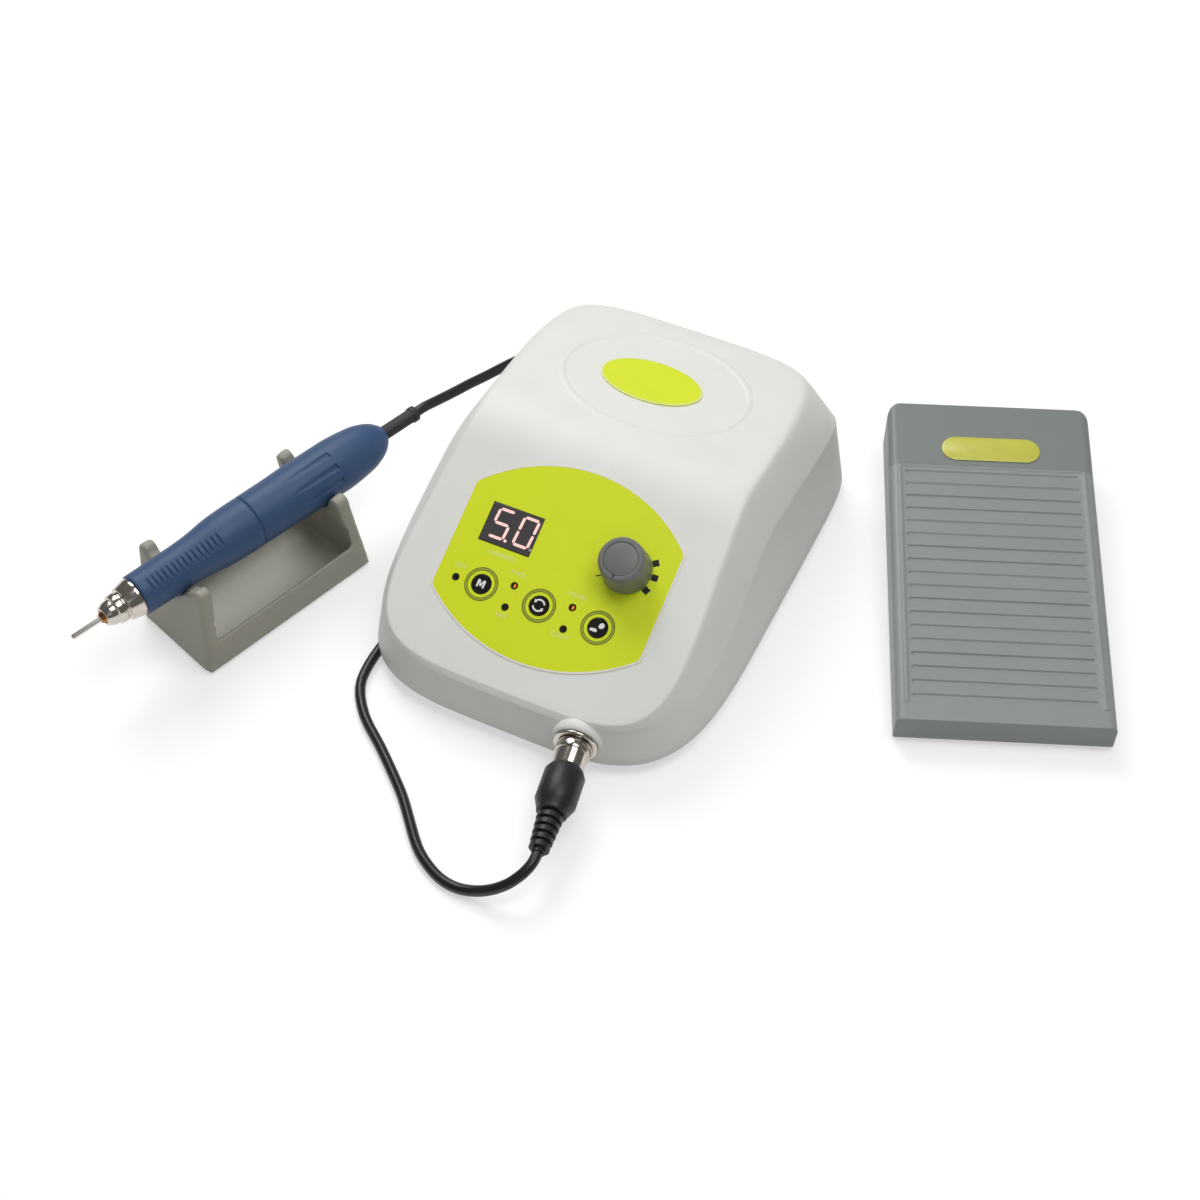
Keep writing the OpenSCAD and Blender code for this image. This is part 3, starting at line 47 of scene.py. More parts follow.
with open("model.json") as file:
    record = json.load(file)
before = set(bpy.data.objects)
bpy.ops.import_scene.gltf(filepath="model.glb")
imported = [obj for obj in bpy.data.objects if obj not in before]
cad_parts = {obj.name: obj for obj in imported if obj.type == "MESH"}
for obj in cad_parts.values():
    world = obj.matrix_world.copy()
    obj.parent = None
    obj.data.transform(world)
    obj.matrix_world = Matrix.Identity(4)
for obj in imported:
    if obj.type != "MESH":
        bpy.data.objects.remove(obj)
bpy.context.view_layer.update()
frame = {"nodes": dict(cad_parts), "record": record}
nodes = frame["nodes"]
slot_of = {part["node"]: part["material_slot"] for part in frame["record"]["subparts"]}
body_of = {node: body for body, members in frame["record"]["behaviour"]["bodies"].items()
           for node in members}


# Small helpers

def mm(*place):
    """A point or size in millimetres, as metres."""
    return Vector(place) * MM


def deselect():
    if bpy.context.object and bpy.context.object.mode != "OBJECT":
        bpy.ops.object.mode_set(mode="OBJECT")
    bpy.ops.object.select_all(action="DESELECT")


def select_only(piece):
    deselect()
    piece.select_set(True)
    bpy.context.view_layer.objects.active = piece


def apply_modifier(piece, kind, **settings):
    select_only(piece)
    modifier = piece.modifiers.new(kind.title(), kind)
    for name, value in settings.items():
        setattr(modifier, name, value)
    bpy.ops.object.modifier_apply(modifier=modifier.name)


def weld(piece, flat=0.0):
    """Merges the doubled points of a mesh, and joins faces that differ by less than flat degrees."""
    select_only(piece)
    bpy.ops.object.mode_set(mode="EDIT")
    bpy.ops.mesh.select_all(action="SELECT")
    bpy.ops.mesh.remove_doubles(threshold=2e-6)
    if flat:
        bpy.ops.mesh.dissolve_limited(angle_limit=math.radians(flat))
    bpy.ops.object.mode_set(mode="OBJECT")


def smooth(piece, degrees):
    select_only(piece)
    bpy.ops.object.shade_smooth_by_angle(angle=math.radians(degrees))


def give(piece, *materials):
    piece.data.materials.clear()
    for material in materials:
        piece.data.materials.append(material)


def settle(piece, matrix):
    """Puts a piece in its place, and writes that place into its mesh."""
    piece.matrix_world = matrix
    select_only(piece)
    bpy.ops.object.transform_apply(location=True, rotation=True, scale=True)


def place(piece, name, body, slot, matrix=None):
    """Names a new piece, settles it in its place and lets it ride on a body."""
    piece.name = name
    if matrix is not None:
        settle(piece, matrix)
    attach(piece, body)
    return piece


def copy_of(node):
    """A copy of a CAD node, free of the frame."""
    piece = bpy.data.objects.new(node + "_skin", nodes[node].data.copy())
    bpy.context.scene.collection.objects.link(piece)
    select_only(piece)
    bpy.ops.mesh.customdata_custom_splitnormals_clear()
    return piece


def stand_for(piece, node):
    """Lets a piece take a CAD node's finish, body and place."""
    give(piece, finish[slot_of[node]])
    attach(piece, body_of[node])
    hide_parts(node)
    return piece


def dress(node, degrees=35, bevel=0.0, segments=2):
    """A smooth copy of a CAD node, with its edges eased by bevel millimetres, that stands for it."""
    piece = copy_of(node)
    weld(piece, 0.2 if bevel else 0.0)
    if bevel:
        apply_modifier(piece, "BEVEL", width=bevel*MM, segments=segments, limit_method="ANGLE",
                       angle_limit=math.radians(40), harden_normals=False)
    smooth(piece, degrees)
    return stand_for(piece, node)


def dress_flat(node):
    """A copy of a sheet-like CAD node with plain flat faces, that stands for it."""
    piece = copy_of(node)
    weld(piece, 0.2)
    select_only(piece)
    bpy.ops.object.shade_flat()
    return stand_for(piece, node)


def ease_uprights(piece, reach, least):
    """Rounds the upright outer edges of a piece that are longer than the least, in millimetres."""
    steep, sharp, outward = 0.8, 0.5, 0.004
    weld(piece, 0.5)
    low, high = (Vector(f(v.co[i] for v in piece.data.vertices) for i in range(3)) for f in (min, max))
    middle = (low + high)/2
    bpy.ops.object.mode_set(mode="EDIT")
    bpy.ops.mesh.select_mode(type="EDGE")
    bpy.ops.mesh.select_all(action="SELECT")
    bpy.ops.mesh.normals_make_consistent(inside=False)
    bpy.ops.mesh.select_all(action="DESELECT")
    bpy.ops.object.mode_set(mode="OBJECT")
    points = piece.data.vertices
    facing = {}
    for face in piece.data.polygons:
        for key in face.edge_keys:
            facing.setdefault(key, []).append(face.normal)
    for edge in piece.data.edges:
        a, b = (points[i].co for i in edge.vertices)
        along = b - a
        sides = facing.get(edge.key, [])
        if len(sides) == 2 and along.length > least*MM and abs(along.z) > steep*along.length:
            out = (a + b)/2 - middle
            out.z = 0
            edge.select = sides[0].dot(sides[1]) < sharp and min(s.dot(out) for s in sides) > outward
    bpy.ops.object.mode_set(mode="EDIT")
    bpy.ops.mesh.bevel(offset=reach*MM, segments=4, affect="EDGES")
    bpy.ops.mesh.select_mode(type="VERT")
    bpy.ops.object.mode_set(mode="OBJECT")


def round_off(node, grid, passes, keep, upright=0.0):
    """A copy of a moulded CAD node with all its edges softened, that stands for it."""
    least_upright = 12
    piece = copy_of(node)
    weld(piece)
    if upright:
        ease_uprights(piece, upright, least_upright)
    apply_modifier(piece, "REMESH", mode="VOXEL", voxel_size=grid*MM, use_smooth_shade=True)
    apply_modifier(piece, "SMOOTH", factor=0.5, iterations=passes)
    apply_modifier(piece, "DECIMATE", decimate_type="COLLAPSE", ratio=keep)
    smooth(piece, 75)
    return stand_for(piece, node)


def surface(columns, rows, spot):
    """A sheet of columns by rows faces with each point moved to its spot, and its seams closed."""
    deselect()
    bpy.ops.mesh.primitive_grid_add(x_subdivisions=columns, y_subdivisions=rows, size=1)
    piece = bpy.context.object
    for vertex in piece.data.vertices:
        row = round((vertex.co.y + 0.5)*rows)
        vertex.co = Vector(spot(vertex.co.x + 0.5, row))*MM
    weld(piece)
    return piece


def eased_corners(profile, size):
    """A profile with each of its corners cut into a short curve."""
    found = [profile[0]]
    for a, b, c in zip(profile, profile[1:], profile[2:]):
        a, b, c = Vector(a), Vector(b), Vector(c)
        before = b + (a - b)*min(size/(a - b).length, 0.45)
        after = b + (c - b)*min(size/(c - b).length, 0.45)
        for k in range(5):
            s = k/4
            found.append(tuple(before*(1 - s)**2 + b*2*s*(1 - s) + after*s*s))
    return found + [profile[-1]]


def turned(profile, columns=96):
    """A piece turned about +Z from its profile of radii and heights."""
    def spot(share, row):
        angle = 2*math.pi*share
        radius, height = profile[row]
        return radius*math.cos(angle), radius*math.sin(angle), height
    return surface(columns, len(profile) - 1, spot)


# Finishes

def linear(rgb):
    """An sRGB colour in steps of 255, as linear light."""
    shares = [c/255 for c in rgb]
    return tuple(c/12.92 if c <= 0.04045 else ((c + 0.055)/1.055)**2.4 for c in shares) + (1.0,)


def paint(name, rgb, rough, metal=0.0, grain=0.05, grain_mm=0.5, coat=0.0, mottle=0.015, patch_mm=18,
          spread=0.1, glow=0.0):
    """A finish with a fine grain in its surface, and a little unevenness in its colour and gloss."""
    material = bpy.data.materials.new(name)
    material.use_nodes = True
    tree = material.node_tree
    shader = tree.nodes["Principled BSDF"]
    shader.inputs["Metallic"].default_value = metal
    shader.inputs["Coat Weight"].default_value = coat
    shader.inputs["Coat Roughness"].default_value = 0.15
    if glow:
        shader.inputs["Emission Color"].default_value = linear(rgb)
        shader.inputs["Emission Strength"].default_value = glow
    where = tree.nodes.new("ShaderNodeTexCoord")
    fine = tree.nodes.new("ShaderNodeTexNoise")
    fine.inputs["Scale"].default_value = 1/(grain_mm*MM)
    fine.inputs["Detail"].default_value = 3
    tree.links.new(where.outputs["Object"], fine.inputs["Vector"])
    broad = tree.nodes.new("ShaderNodeTexNoise")
    broad.inputs["Scale"].default_value = 1/(patch_mm*MM)
    broad.inputs["Detail"].default_value = 2
    tree.links.new(where.outputs["Object"], broad.inputs["Vector"])
    tint = tree.nodes.new("ShaderNodeMix")
    tint.data_type = "RGBA"
    tint.inputs["A"].default_value = linear([c*(1 - mottle) for c in rgb])
    tint.inputs["B"].default_value = linear([min(c*(1 + mottle), 255) for c in rgb])
    tree.links.new(broad.outputs["Fac"], tint.inputs["Factor"])
    tree.links.new(tint.outputs["Result"], shader.inputs["Base Color"])
    gloss = tree.nodes.new("ShaderNodeMapRange")
    gloss.inputs["From Min"].default_value = 0.3
    gloss.inputs["From Max"].default_value = 0.7
    gloss.inputs["To Min"].default_value = rough*(1 - spread)
    gloss.inputs["To Max"].default_value = rough*(1 + spread)
    tree.links.new(fine.outputs["Fac"], gloss.inputs["Value"])
    tree.links.new(gloss.outputs["Result"], shader.inputs["Roughness"])
    bump = tree.nodes.new("ShaderNodeBump")
    bump.inputs["Strength"].default_value = grain
    bump.inputs["Distance"].default_value = 0.00015
    tree.links.new(fine.outputs["Fac"], bump.inputs["Height"])
    tree.links.new(bump.outputs["Normal"], shader.inputs["Normal"])
    return material


finish = {
    "housing": paint("housing", (234, 236, 232), 0.45, grain=0.06, grain_mm=0.6),
    "chassis_steel": paint("chassis_steel", (176, 178, 180), 0.38, metal=0.9, grain=0.1, mottle=0.03),
    "foot_rubber": paint("foot_rubber", (38, 38, 38), 0.8, grain=0.2, grain_mm=0.4),
    "panel_green": paint("panel_green", (222, 237, 12), 0.5, grain=0.03),
    "display_dark": paint("display_dark", (72, 70, 73), 0.25, grain=0.02, coat=0.3),
    "knob_grey": paint("knob_grey", (116, 119, 118), 0.42, grain=0.14, grain_mm=0.4),
    "gloss_black": paint("gloss_black", (14, 14, 14), 0.3, grain=0.02),
    "black_plastic": paint("black_plastic", (34, 34, 35), 0.5, grain=0.12),
    "led": paint("led", (22, 18, 16), 0.25, grain=0.02, coat=0.3),
    "board": paint("board", (38, 98, 52), 0.4, coat=0.3, mottle=0.08, patch_mm=5),
    "copper": paint("copper", (178, 104, 58), 0.35, metal=0.9, grain=0.15, mottle=0.05, patch_mm=2),
    "nickel": paint("nickel", (206, 199, 190), 0.16, metal=1.0, grain=0.05, grain_mm=0.25, spread=0.3),
    "rocker_red": paint("rocker_red", (170, 26, 22), 0.3, grain=0.03, coat=0.3),
    "plug_black": paint("plug_black", (34, 36, 36), 0.42, grain=0.16, grain_mm=0.4),
    "cord_black": paint("cord_black", (30, 33, 33), 0.32, grain=0.06, grain_mm=0.5),
    "tie_black": paint("tie_black", (30, 30, 30), 0.5, grain=0.1),
    "bronze": paint("bronze", (172, 116, 66), 0.25, metal=0.9, mottle=0.04, patch_mm=3),
    "tool_steel": paint("tool_steel", (214, 210, 204), 0.42, metal=1.0, grain=0.05, grain_mm=0.2),
    "sleeve_blue": paint("sleeve_blue", (54, 84, 126), 0.5, grain=0.16, grain_mm=0.3, mottle=0.03),
    "motor_magnet": paint("motor_magnet", (70, 70, 72), 0.5, metal=0.5),
    "rotor_iron": paint("rotor_iron", (150, 98, 66), 0.4, metal=0.7, mottle=0.05),
    "sleeve_grey": paint("sleeve_grey", (44, 46, 45), 0.5, grain=0.12),
    "cradle_grey": paint("cradle_grey", (164, 162, 148), 0.45, grain=0.16, grain_mm=0.45, mottle=0.02),
    "pedal_cream": paint("pedal_cream", (148, 150, 143), 0.5, grain=0.14),
    "treadle_grey": paint("treadle_grey", (147, 154, 152), 0.42, grain=0.18, grain_mm=0.45, mottle=0.02),
    "pedal_badge": paint("pedal_badge", (205, 204, 84), 0.32, grain=0.05, coat=0.2, mottle=0.05, patch_mm=6),
}
# Painted highlight: a pale lilac line round the panel's outline, standing in for the light caught by the rim
# of its recess.
painted_edge_highlight = paint("panel_edge_highlight", (240, 233, 243), 0.4)
# Painted shade: dark rings and a darker olive band round each key, standing in for the shade in an embossed
# groove.
groove_edge_shade = paint("groove_edge_shade", (66, 68, 22), 0.5, grain=0.03)
groove_floor_shade = paint("groove_floor_shade", (168, 177, 36), 0.5, grain=0.03)
pale_ink = paint("pale_ink", (232, 238, 158), 0.5, grain=0.03)
white_ink = paint("white_ink", (238, 238, 238), 0.45, grain=0.03)
segment_lit = paint("segment_lit", (248, 206, 200), 0.4, grain=0.02, glow=0.35)
segment_dim = paint("segment_dim", (150, 146, 152), 0.4, grain=0.02)
lamp_lit = paint("lamp_lit", (232, 122, 40), 0.3, grain=0.02, glow=0.4)
mark_black = paint("mark_black", (16, 15, 14), 0.6, grain=0.04)
# Painted highlight: a pale thin rim round the top badge, standing in for the light caught by its edge.
badge_rim_highlight = paint("badge_rim_highlight", (232, 236, 190), 0.35, grain=0.03)
for name, node in nodes.items():
    for material_slot in node.material_slots:
        material_slot.link = "OBJECT"
        material_slot.material = finish[slot_of[name]]


# Camera, at the photograph's place

def add_camera():
    eye = mm(264.9, -560.0, 736.9)
    right = Vector((0.9016, 0.4326, 0)).normalized()
    forward = Vector((-0.2731, 0.5693, -0.7755))
    forward = (forward - right*forward.dot(right)).normalized()
    up = right.cross(forward)
    turn = Matrix((right, up, -forward)).transposed().to_4x4()
    deselect()
    bpy.ops.object.camera_add()
    camera = bpy.context.object
    camera.matrix_world = Matrix.Translation(eye) @ turn
    camera.data.sensor_width = 36
    camera.data.lens = 60.13
    bpy.context.scene.camera = camera


# Housing skin, from the same outline as the part's source but drawn finer

HALF_W, HALF_L = 85.5, 111.0
FOOT_H = 5.6
WALL = 2.4
FRONT_SQUARE, REAR_SQUARE = 4, 9
TOP_FRONT_SQUARE, TOP_REAR_SQUARE = 6.4, 2.8
FRONT_DROP, REAR_DROP, SIDE_DROP = 1.6, 28, 21
FRONT_INSET, REAR_INSET, SIDE_INSET = 3, 9, 18
LEAN = math.tan(math.radians(6.5))
SLOPE = math.radians(25.5)
REAR_FALL = math.radians(6)
FRONT_RISE, REAR_RISE = math.tan(SLOPE), -math.tan(REAR_FALL)
FRONT_H, CREST_Y, CREST_RUN = 27.5, 97.5 - HALF_L, 30
EDGE_STEEP, EDGE_SOFT = 1.55, 0.12
BADGE_Y = 54
KEY_U, KEY_V, KEY_PITCH = -29.5, -13, 28.8
KNOB = (30, 16)
DISPLAY = (-27, 15.3)
LAMPS = ((-42, -14), (-15, -8.5), (-15, -19), (13.8, -8.5), (13.8, -19))


def blend_of(a, b, share):
    return a + (b - a)*share


def roof(y):
    """Height of the unit's top along its length."""
    t = min(max(y - CREST_Y, 0), CREST_RUN)
    return (FRONT_H + (min(y, CREST_Y) + HALF_L)*FRONT_RISE + FRONT_RISE*t
            + (REAR_RISE - FRONT_RISE)*t*t/(2*CREST_RUN) + REAR_RISE*max(y - CREST_Y - CREST_RUN, 0))


def outline(angle, a, b, square):
    """A point of a rounded rectangle, in one direction from its middle."""
    c, s = math.cos(angle), math.sin(angle)
    reach = ((abs(c)/a)**square + (abs(s)/b)**square)**(-1/square)
    return reach*c, reach*s


def edge_share(s):
    """Share of the shoulder's drop that is left at share s of its width."""
    def falling(x):
        line = 1 - EDGE_STEEP*x
        return (line + math.sqrt(line*line + EDGE_SOFT*EDGE_SOFT))/2
    return (falling(s) - s*falling(1))/falling(0)


def housing_spot(angle, kind, value):
    """One point of the skin: on the foot, the wall, the shoulder or the roof."""
    front = math.sin(angle) < -1e-9
    square = FRONT_SQUARE if front else REAR_SQUARE
    belt_x, belt_y = outline(angle, HALF_W, HALF_L, square)
    side = (abs(belt_x)/HALF_W)**square
    drop = blend_of(FRONT_DROP if front else REAR_DROP, SIDE_DROP, side)
    inset = blend_of(FRONT_INSET if front else REAR_INSET, SIDE_INSET, side)
    belt_z = roof(belt_y) - drop
    if kind == "foot":
        x, y = outline(angle, HALF_W - value[1], HALF_L - value[1], square)
        return x, y, FOOT_H + value[0]
    share = 1.0 if kind == "roof" else 0.0 if kind == "wall" else value
    top_square = blend_of(square, TOP_FRONT_SQUARE if front else TOP_REAR_SQUARE, share)
    inward = belt_z*LEAN + inset*share
    x, y = outline(angle, HALF_W - inward, HALF_L - inward, top_square)
    if kind == "roof":
        return x*value, y*value, roof(y*value)
    z = roof(y) - drop*edge_share(share)
    if kind == "wall":
        low_x, low_y = outline(angle, HALF_W, HALF_L, square)
        low_z = FOOT_H + 2
        return blend_of(low_x, x, value), blend_of(low_y, y, value), blend_of(low_z, z, value)
    return x, y, z


def face_cutter():
    """What is cut from the sloping face for the keys, lamps, knob and display."""
    holes = [(KEY_U + k*KEY_PITCH, KEY_V, 4.8) for k in range(3)] + [(*KNOB, 3.8)]
    holes += [(u, v, 1.8) for u, v in LAMPS]
    cutters = []
    for u, v, r in holes:
        deselect()
        bpy.ops.mesh.primitive_cylinder_add(vertices=48, radius=r*MM, depth=12*MM)
        settle(bpy.context.object, on_panel(u, v, 0))
        cutters.append(bpy.context.object)
    deselect()
    bpy.ops.mesh.primitive_cube_add(size=1, scale=mm(25.6, 19.2, 12))
    settle(bpy.context.object, on_panel(*DISPLAY, 0) @ bpy.context.object.matrix_world)
    return joined(cutters + [bpy.context.object])


def add_housing():
    """The housing's skin, open at the rear for the chassis's panel and pierced on its sloping face."""
    bands = [("foot", (0, 1.2)), ("foot", (0.5, 0.7)), ("foot", (1.2, 0.25)), ("foot", (2, 0))]
    bands += [("wall", v) for v in (0.2, 0.4, 0.6, 0.8, 0.93, 0.98)]
    bands += [("shoulder", v) for v in (0, 0.02, 0.07, 0.16, 0.28, 0.4, 0.48, 0.54, 0.58, 0.62, 0.66, 0.7,
                                        0.75, 0.82, 0.9, 1)]
    bands += [("roof", v) for v in (0.95, 0.89, 0.82, 0.74, 0.66, 0.58, 0.5, 0.42, 0.34, 0.26, 0.18, 0.1, 0)]
    skin = surface(256, len(bands) - 1,
                   lambda share, row: housing_spot(2*math.pi*share, *bands[row]))
    apply_modifier(skin, "SOLIDIFY", thickness=WALL*MM, offset=-1)
    deselect()
    bpy.ops.mesh.primitive_cube_add(size=1, location=mm(0, 112, 23.3), scale=mm(112.6, 31, 49.6))
    cutter = bpy.context.object
    apply_modifier(skin, "BOOLEAN", operation="DIFFERENCE", object=cutter, solver="EXACT")
    bpy.data.objects.remove(cutter)
    cutter = face_cutter()
    apply_modifier(skin, "BOOLEAN", operation="DIFFERENCE", object=cutter, solver="EXACT")
    bpy.data.objects.remove(cutter)
    smooth(skin, 40)
    skin.name = "housing_skin"
    stand_for(skin, "upper_housing")
    add_collar()
    add_oval()


SOCKET = Vector((37.5, -111.5, 18))
PLUG_TURN = math.radians(10)


def socket_place(out=0.0):
    """Frame of the socket: its Z runs out along the plug."""
    z = Vector((math.sin(PLUG_TURN), -math.cos(PLUG_TURN), 0))
    x = Vector((math.cos(PLUG_TURN), math.sin(PLUG_TURN), 0))
    y = z.cross(x)
    return Matrix.Translation((SOCKET + z*out)*MM) @ Matrix((x, y, z)).transposed().to_4x4()


def add_collar():
    """The moulded collar round the socket, running out into the wall."""
    profile = [(12.1, -10), (12.1, -5.6), (12.05, -4.6), (11.9, -3.7), (11.65, -2.9), (11.3, -2.25),
               (10.9, -1.8), (10.4, -1.6), (9.9, -1.7), (9.6, -2.3), (9.6, -6)]
    collar = turned(profile)
    smooth(collar, 60)
    give(collar, finish["housing"])
    place(collar, "socket_collar", "control_set", "housing", socket_place())


def rear_top(x, y, lift=0.0):
    """A place on the flat rear top, in millimetres across it, along it and above it."""
    along = Vector((0, math.cos(REAR_FALL), -math.sin(REAR_FALL)))
    out = Vector((0, math.sin(REAR_FALL), math.cos(REAR_FALL)))
    return Vector((x, BADGE_Y, roof(BADGE_Y))) + y*along + lift*out


def add_oval():
    """The soft raised line round the badge."""
    width, height = 4.2, 0.5
    steps = (0, 0.12, 0.28, 0.5, 0.72, 0.88, 1)

    def spot(share, row):
        angle = 2*math.pi*share
        grow = width*(0.5 - steps[row])
        lift = height*math.sin(math.pi*steps[row])**2 - 0.03
        return rear_top(-1 + (45.6 + grow)*math.cos(angle), (33.6 + grow)*math.sin(angle), lift)
    oval = surface(160, len(steps) - 1, spot)
    smooth(oval, 60)
    give(oval, finish["housing"])
    place(oval, "oval_line", "control_set", "housing")


def add_badge_rim():
    """A pale thin rim round the bare badge, a painted highlight along its edge."""
    def spot(share, row):
        angle = 2*math.pi*share
        grow = (-0.1, -0.75)[row]
        return rear_top(-3 + (25.2 + grow)*math.cos(angle), (14.6 + grow)*math.sin(angle), 0.63)
    rim = surface(120, 1, spot)
    give(rim, badge_rim_highlight)
    place(rim, "top_badge_rim", "control_set", "panel_green")


# Cord: the route's points are those of the part's source

HEADING, TILT = math.radians(70.5), math.radians(1.1)


def handpiece_axis():
    """The way from the handpiece's nose to its tail."""
    return Vector((math.cos(HEADING)*math.cos(TILT), math.sin(HEADING)*math.cos(TILT), -math.sin(TILT)))


STAND = Vector((-144.5, -83.2, 46.2))
CORD_D = 5
CORD_Z = 2.6
RELIEF_END = 56.5
TAIL_END = 104
TAIL_GAP = 0.3
HANK_SPOT = (-24, 133.5)
HANK_STRAIGHT = 60
HANK_R = 20
HANK_BASE = 3.6
HANK_STEP = 5.6
HANK_TURNS = 2.625
TURN_STEPS = 24
BEND_STEPS = 9
RUN_STEPS = 3


def clamp(value):
    return min(max(value, 0.0), 1.0)


def hank_point(k):
    steps = HANK_TURNS*TURN_STEPS
    j = k % TURN_STEPS
    r = HANK_R - HANK_STEP*min(k, steps - k)/TURN_STEPS
    share = clamp((k - steps/2)/TURN_STEPS + 0.5)
    run = clamp(j/RUN_STEPS) - clamp((j - RUN_STEPS - BEND_STEPS)/RUN_STEPS) - 0.5
    bend = clamp((j - RUN_STEPS)/BEND_STEPS) + clamp((j - 2*RUN_STEPS - BEND_STEPS)/BEND_STEPS)
    a = math.pi*bend
    return Vector((HANK_SPOT[0] + HANK_STRAIGHT*run + r*math.sin(a), HANK_SPOT[1] + r*math.cos(a),
                   HANK_BASE + HANK_STEP*share*share*(3 - 2*share)))


def through(points, spans):
    """A smooth curve through the points."""
    ends = [2*points[0] - points[1], *points, 2*points[-1] - points[-2]]
    found = []
    for a, b, c, d in zip(ends, ends[1:], ends[2:], ends[3:]):
        for h in range(spans):
            s = h/spans
            found.append(0.5*(2*b + (c - a)*s + (2*a - 5*b + 4*c - d)*s*s
                              + (3*b - a - 3*c + d)*s*s*s))
    return found + [points[-1]]


def cord_route():
    tip = SOCKET + RELIEF_END*Vector((math.sin(PLUG_TURN), -math.cos(PLUG_TURN), 0))
    start = Vector((HANK_SPOT[0] - HANK_STRAIGHT/2 - CORD_D, HANK_SPOT[1] + HANK_R, HANK_BASE))
    end = Vector((start.x, HANK_SPOT[1] - HANK_R, HANK_BASE + HANK_STEP))
    tail = handpiece_axis()
    tail_tip = STAND + (TAIL_END + TAIL_GAP)*tail
    falling = [(47.4, -171.8, 17.6), (46.2, -176.3, 16.4), (43.8, -180.2, 14.5), (40.6, -183.3, 12.1),
               (35.3, -186.1, 8.7), (28.4, -188, 5.3), (19.9, -189, 3.1)]
    low = [(11.2, -187.8), (2.5, -183.8), (-5.5, -178), (-14.8, -168), (-23, -159), (-32, -150.8),
           (-46, -139), (-60, -128), (-70, -115), (-73, -102), (-73, -86), (-72.5, -66), (-73, -42),
           (-73, -18), (-73, 6), (-73, 30), (-73.5, 54), (-75, 76), (-77, 96), (-80, 113), (-82, 127),
           (-79.5, 140)]
    front = [tip, *[Vector(p) for p in falling], *[Vector((x, y, CORD_Z)) for x, y in low]]
    front += [Vector((-72, 150, 2.9)), start - Vector((4, 0.3, 0.2)), start]
    hank = [hank_point(k) for k in range(int(HANK_TURNS*TURN_STEPS) + 1)]
    rear = [(-76, 111, 12.5), (-83, 103, 18.5), (-87, 91, 26), (-88.5, 78, 32.5), (-91.5, 67, 35.5),
            (-94.5, 58, 37.2), (-98, 48.5, 39), (-101, 39.5, 40.6), (-104.5, 30, 42.2)]
    rear = [end, end - Vector((8, 0, -0.4)), *[Vector(p) for p in rear], tail_tip + 6*tail, tail_tip]
    whole = through(front, 3)[:-1] + through([start, *hank, end], 2)[:-1] + through(rear, 4)
    return [p*MM for p in whole]


def add_cord():
    path = cord_route()
    deselect()
    bpy.ops.curve.primitive_bezier_curve_add()
    line = bpy.context.object
    line.data.splines.clear()
    spline = line.data.splines.new("POLY")
    spline.points.add(len(path) - 1)
    for point, p in zip(spline.points, path):
        point.co = (*p, 1)
    line.data.dimensions = "3D"
    line.data.bevel_depth = CORD_D/2*MM
    line.data.bevel_resolution = 3
    line.data.use_fill_caps = True
    select_only(line)
    bpy.ops.object.convert(target="MESH")
    cord = bpy.context.object
    cord.name = "handpiece_cord"
    give(cord, finish["cord_black"])
    smooth(cord, 60)
    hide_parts("cord_front", "cord_hank", "cord_rear")
    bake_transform(cord)


# Handpiece skins, turned finer than in the part's source

FRONT_L, REAR_L, NOSE_L, SEAM = 64, 82, 17.5, 2.6
GRIP_TURN = 34.5


def handpiece_place(station):
    """Frame of the handpiece at a station: its Z runs from the nose to the tail."""
    turn = Matrix.Rotation(HEADING, 4, "Z") @ Matrix.Rotation(math.pi/2 + TILT, 4, "Y")
    return Matrix.Translation(STAND*MM) @ turn @ Matrix.Translation(mm(0, 0, station))


def ease(share):
    share = clamp(share)
    return share*share*(3 - 2*share)


def eased(line, z, reach):
    """Radius at station z of a profile of stations and radii, averaged over a reach to both sides."""
    def radius(station):
        for (z0, r0), (z1, r1) in zip(line, line[1:]):
            if station <= z1:
                return blend_of(r0, r1, (station - z0)/(z1 - z0))
        return line[-1][1]
    reach = max(min(reach, z - line[0][0], line[-1][0] - z), 0)
    shares = (-1, -0.6, -0.2, 0.2, 0.6, 1)
    return sum(radius(z + reach*share) for share in shares)/len(shares)


def stations(*spans):
    """Stations along an axis, from spans of start, end and step."""
    found = []
    for start, end, step in spans:
        count = round((end - start)/step)
        found += [start + (end - start)*k/count for k in range(count)]
    return found + [spans[-1][1]]


def off_side(angle, middle):
    """Degrees from the nearer of two opposite directions."""
    return (math.degrees(angle) - middle + 90) % 180 - 90


def groove_depth(angle, z, r):
    """Depth of the front sleeve's cross grooves."""
    first, pitch, count = 0.0875*FRONT_L, 0.042*FRONT_L, 15
    k = min(max(round((z - first)/pitch), 0), count - 1)
    turn = math.radians(off_side(angle, GRIP_TURN))
    chord = max(r*math.cos(turn) - r + 0.8, 0)
    across = 1 - ease((abs(z - first - k*pitch) - 0.2)/0.4)
    return chord*across*(1 - ease((abs(r*math.sin(turn)) - 3.1)/0.6))


def scoop_depth(angle, z, r):
    """Depth of the rear sleeve's scoops, which deepen towards the tail."""
    start, length, tool = 0.245*REAR_L, 0.323*REAR_L, 2.2
    turn = off_side(angle, GRIP_TURN + 9)
    turn = math.radians(min(abs(turn - side) for side in (-31.5, 0, 31.5)))
    share = (z - start)/length
    axis = 12.95 - 0.65*share + tool
    chord = tool*tool - (axis*math.sin(turn))**2
    if share < 0 or chord <= 0:
        return 0.0
    return max(r - axis*math.cos(turn) + math.sqrt(chord), 0)*(1 - ease((z - start - length)/0.5 + 0.6))


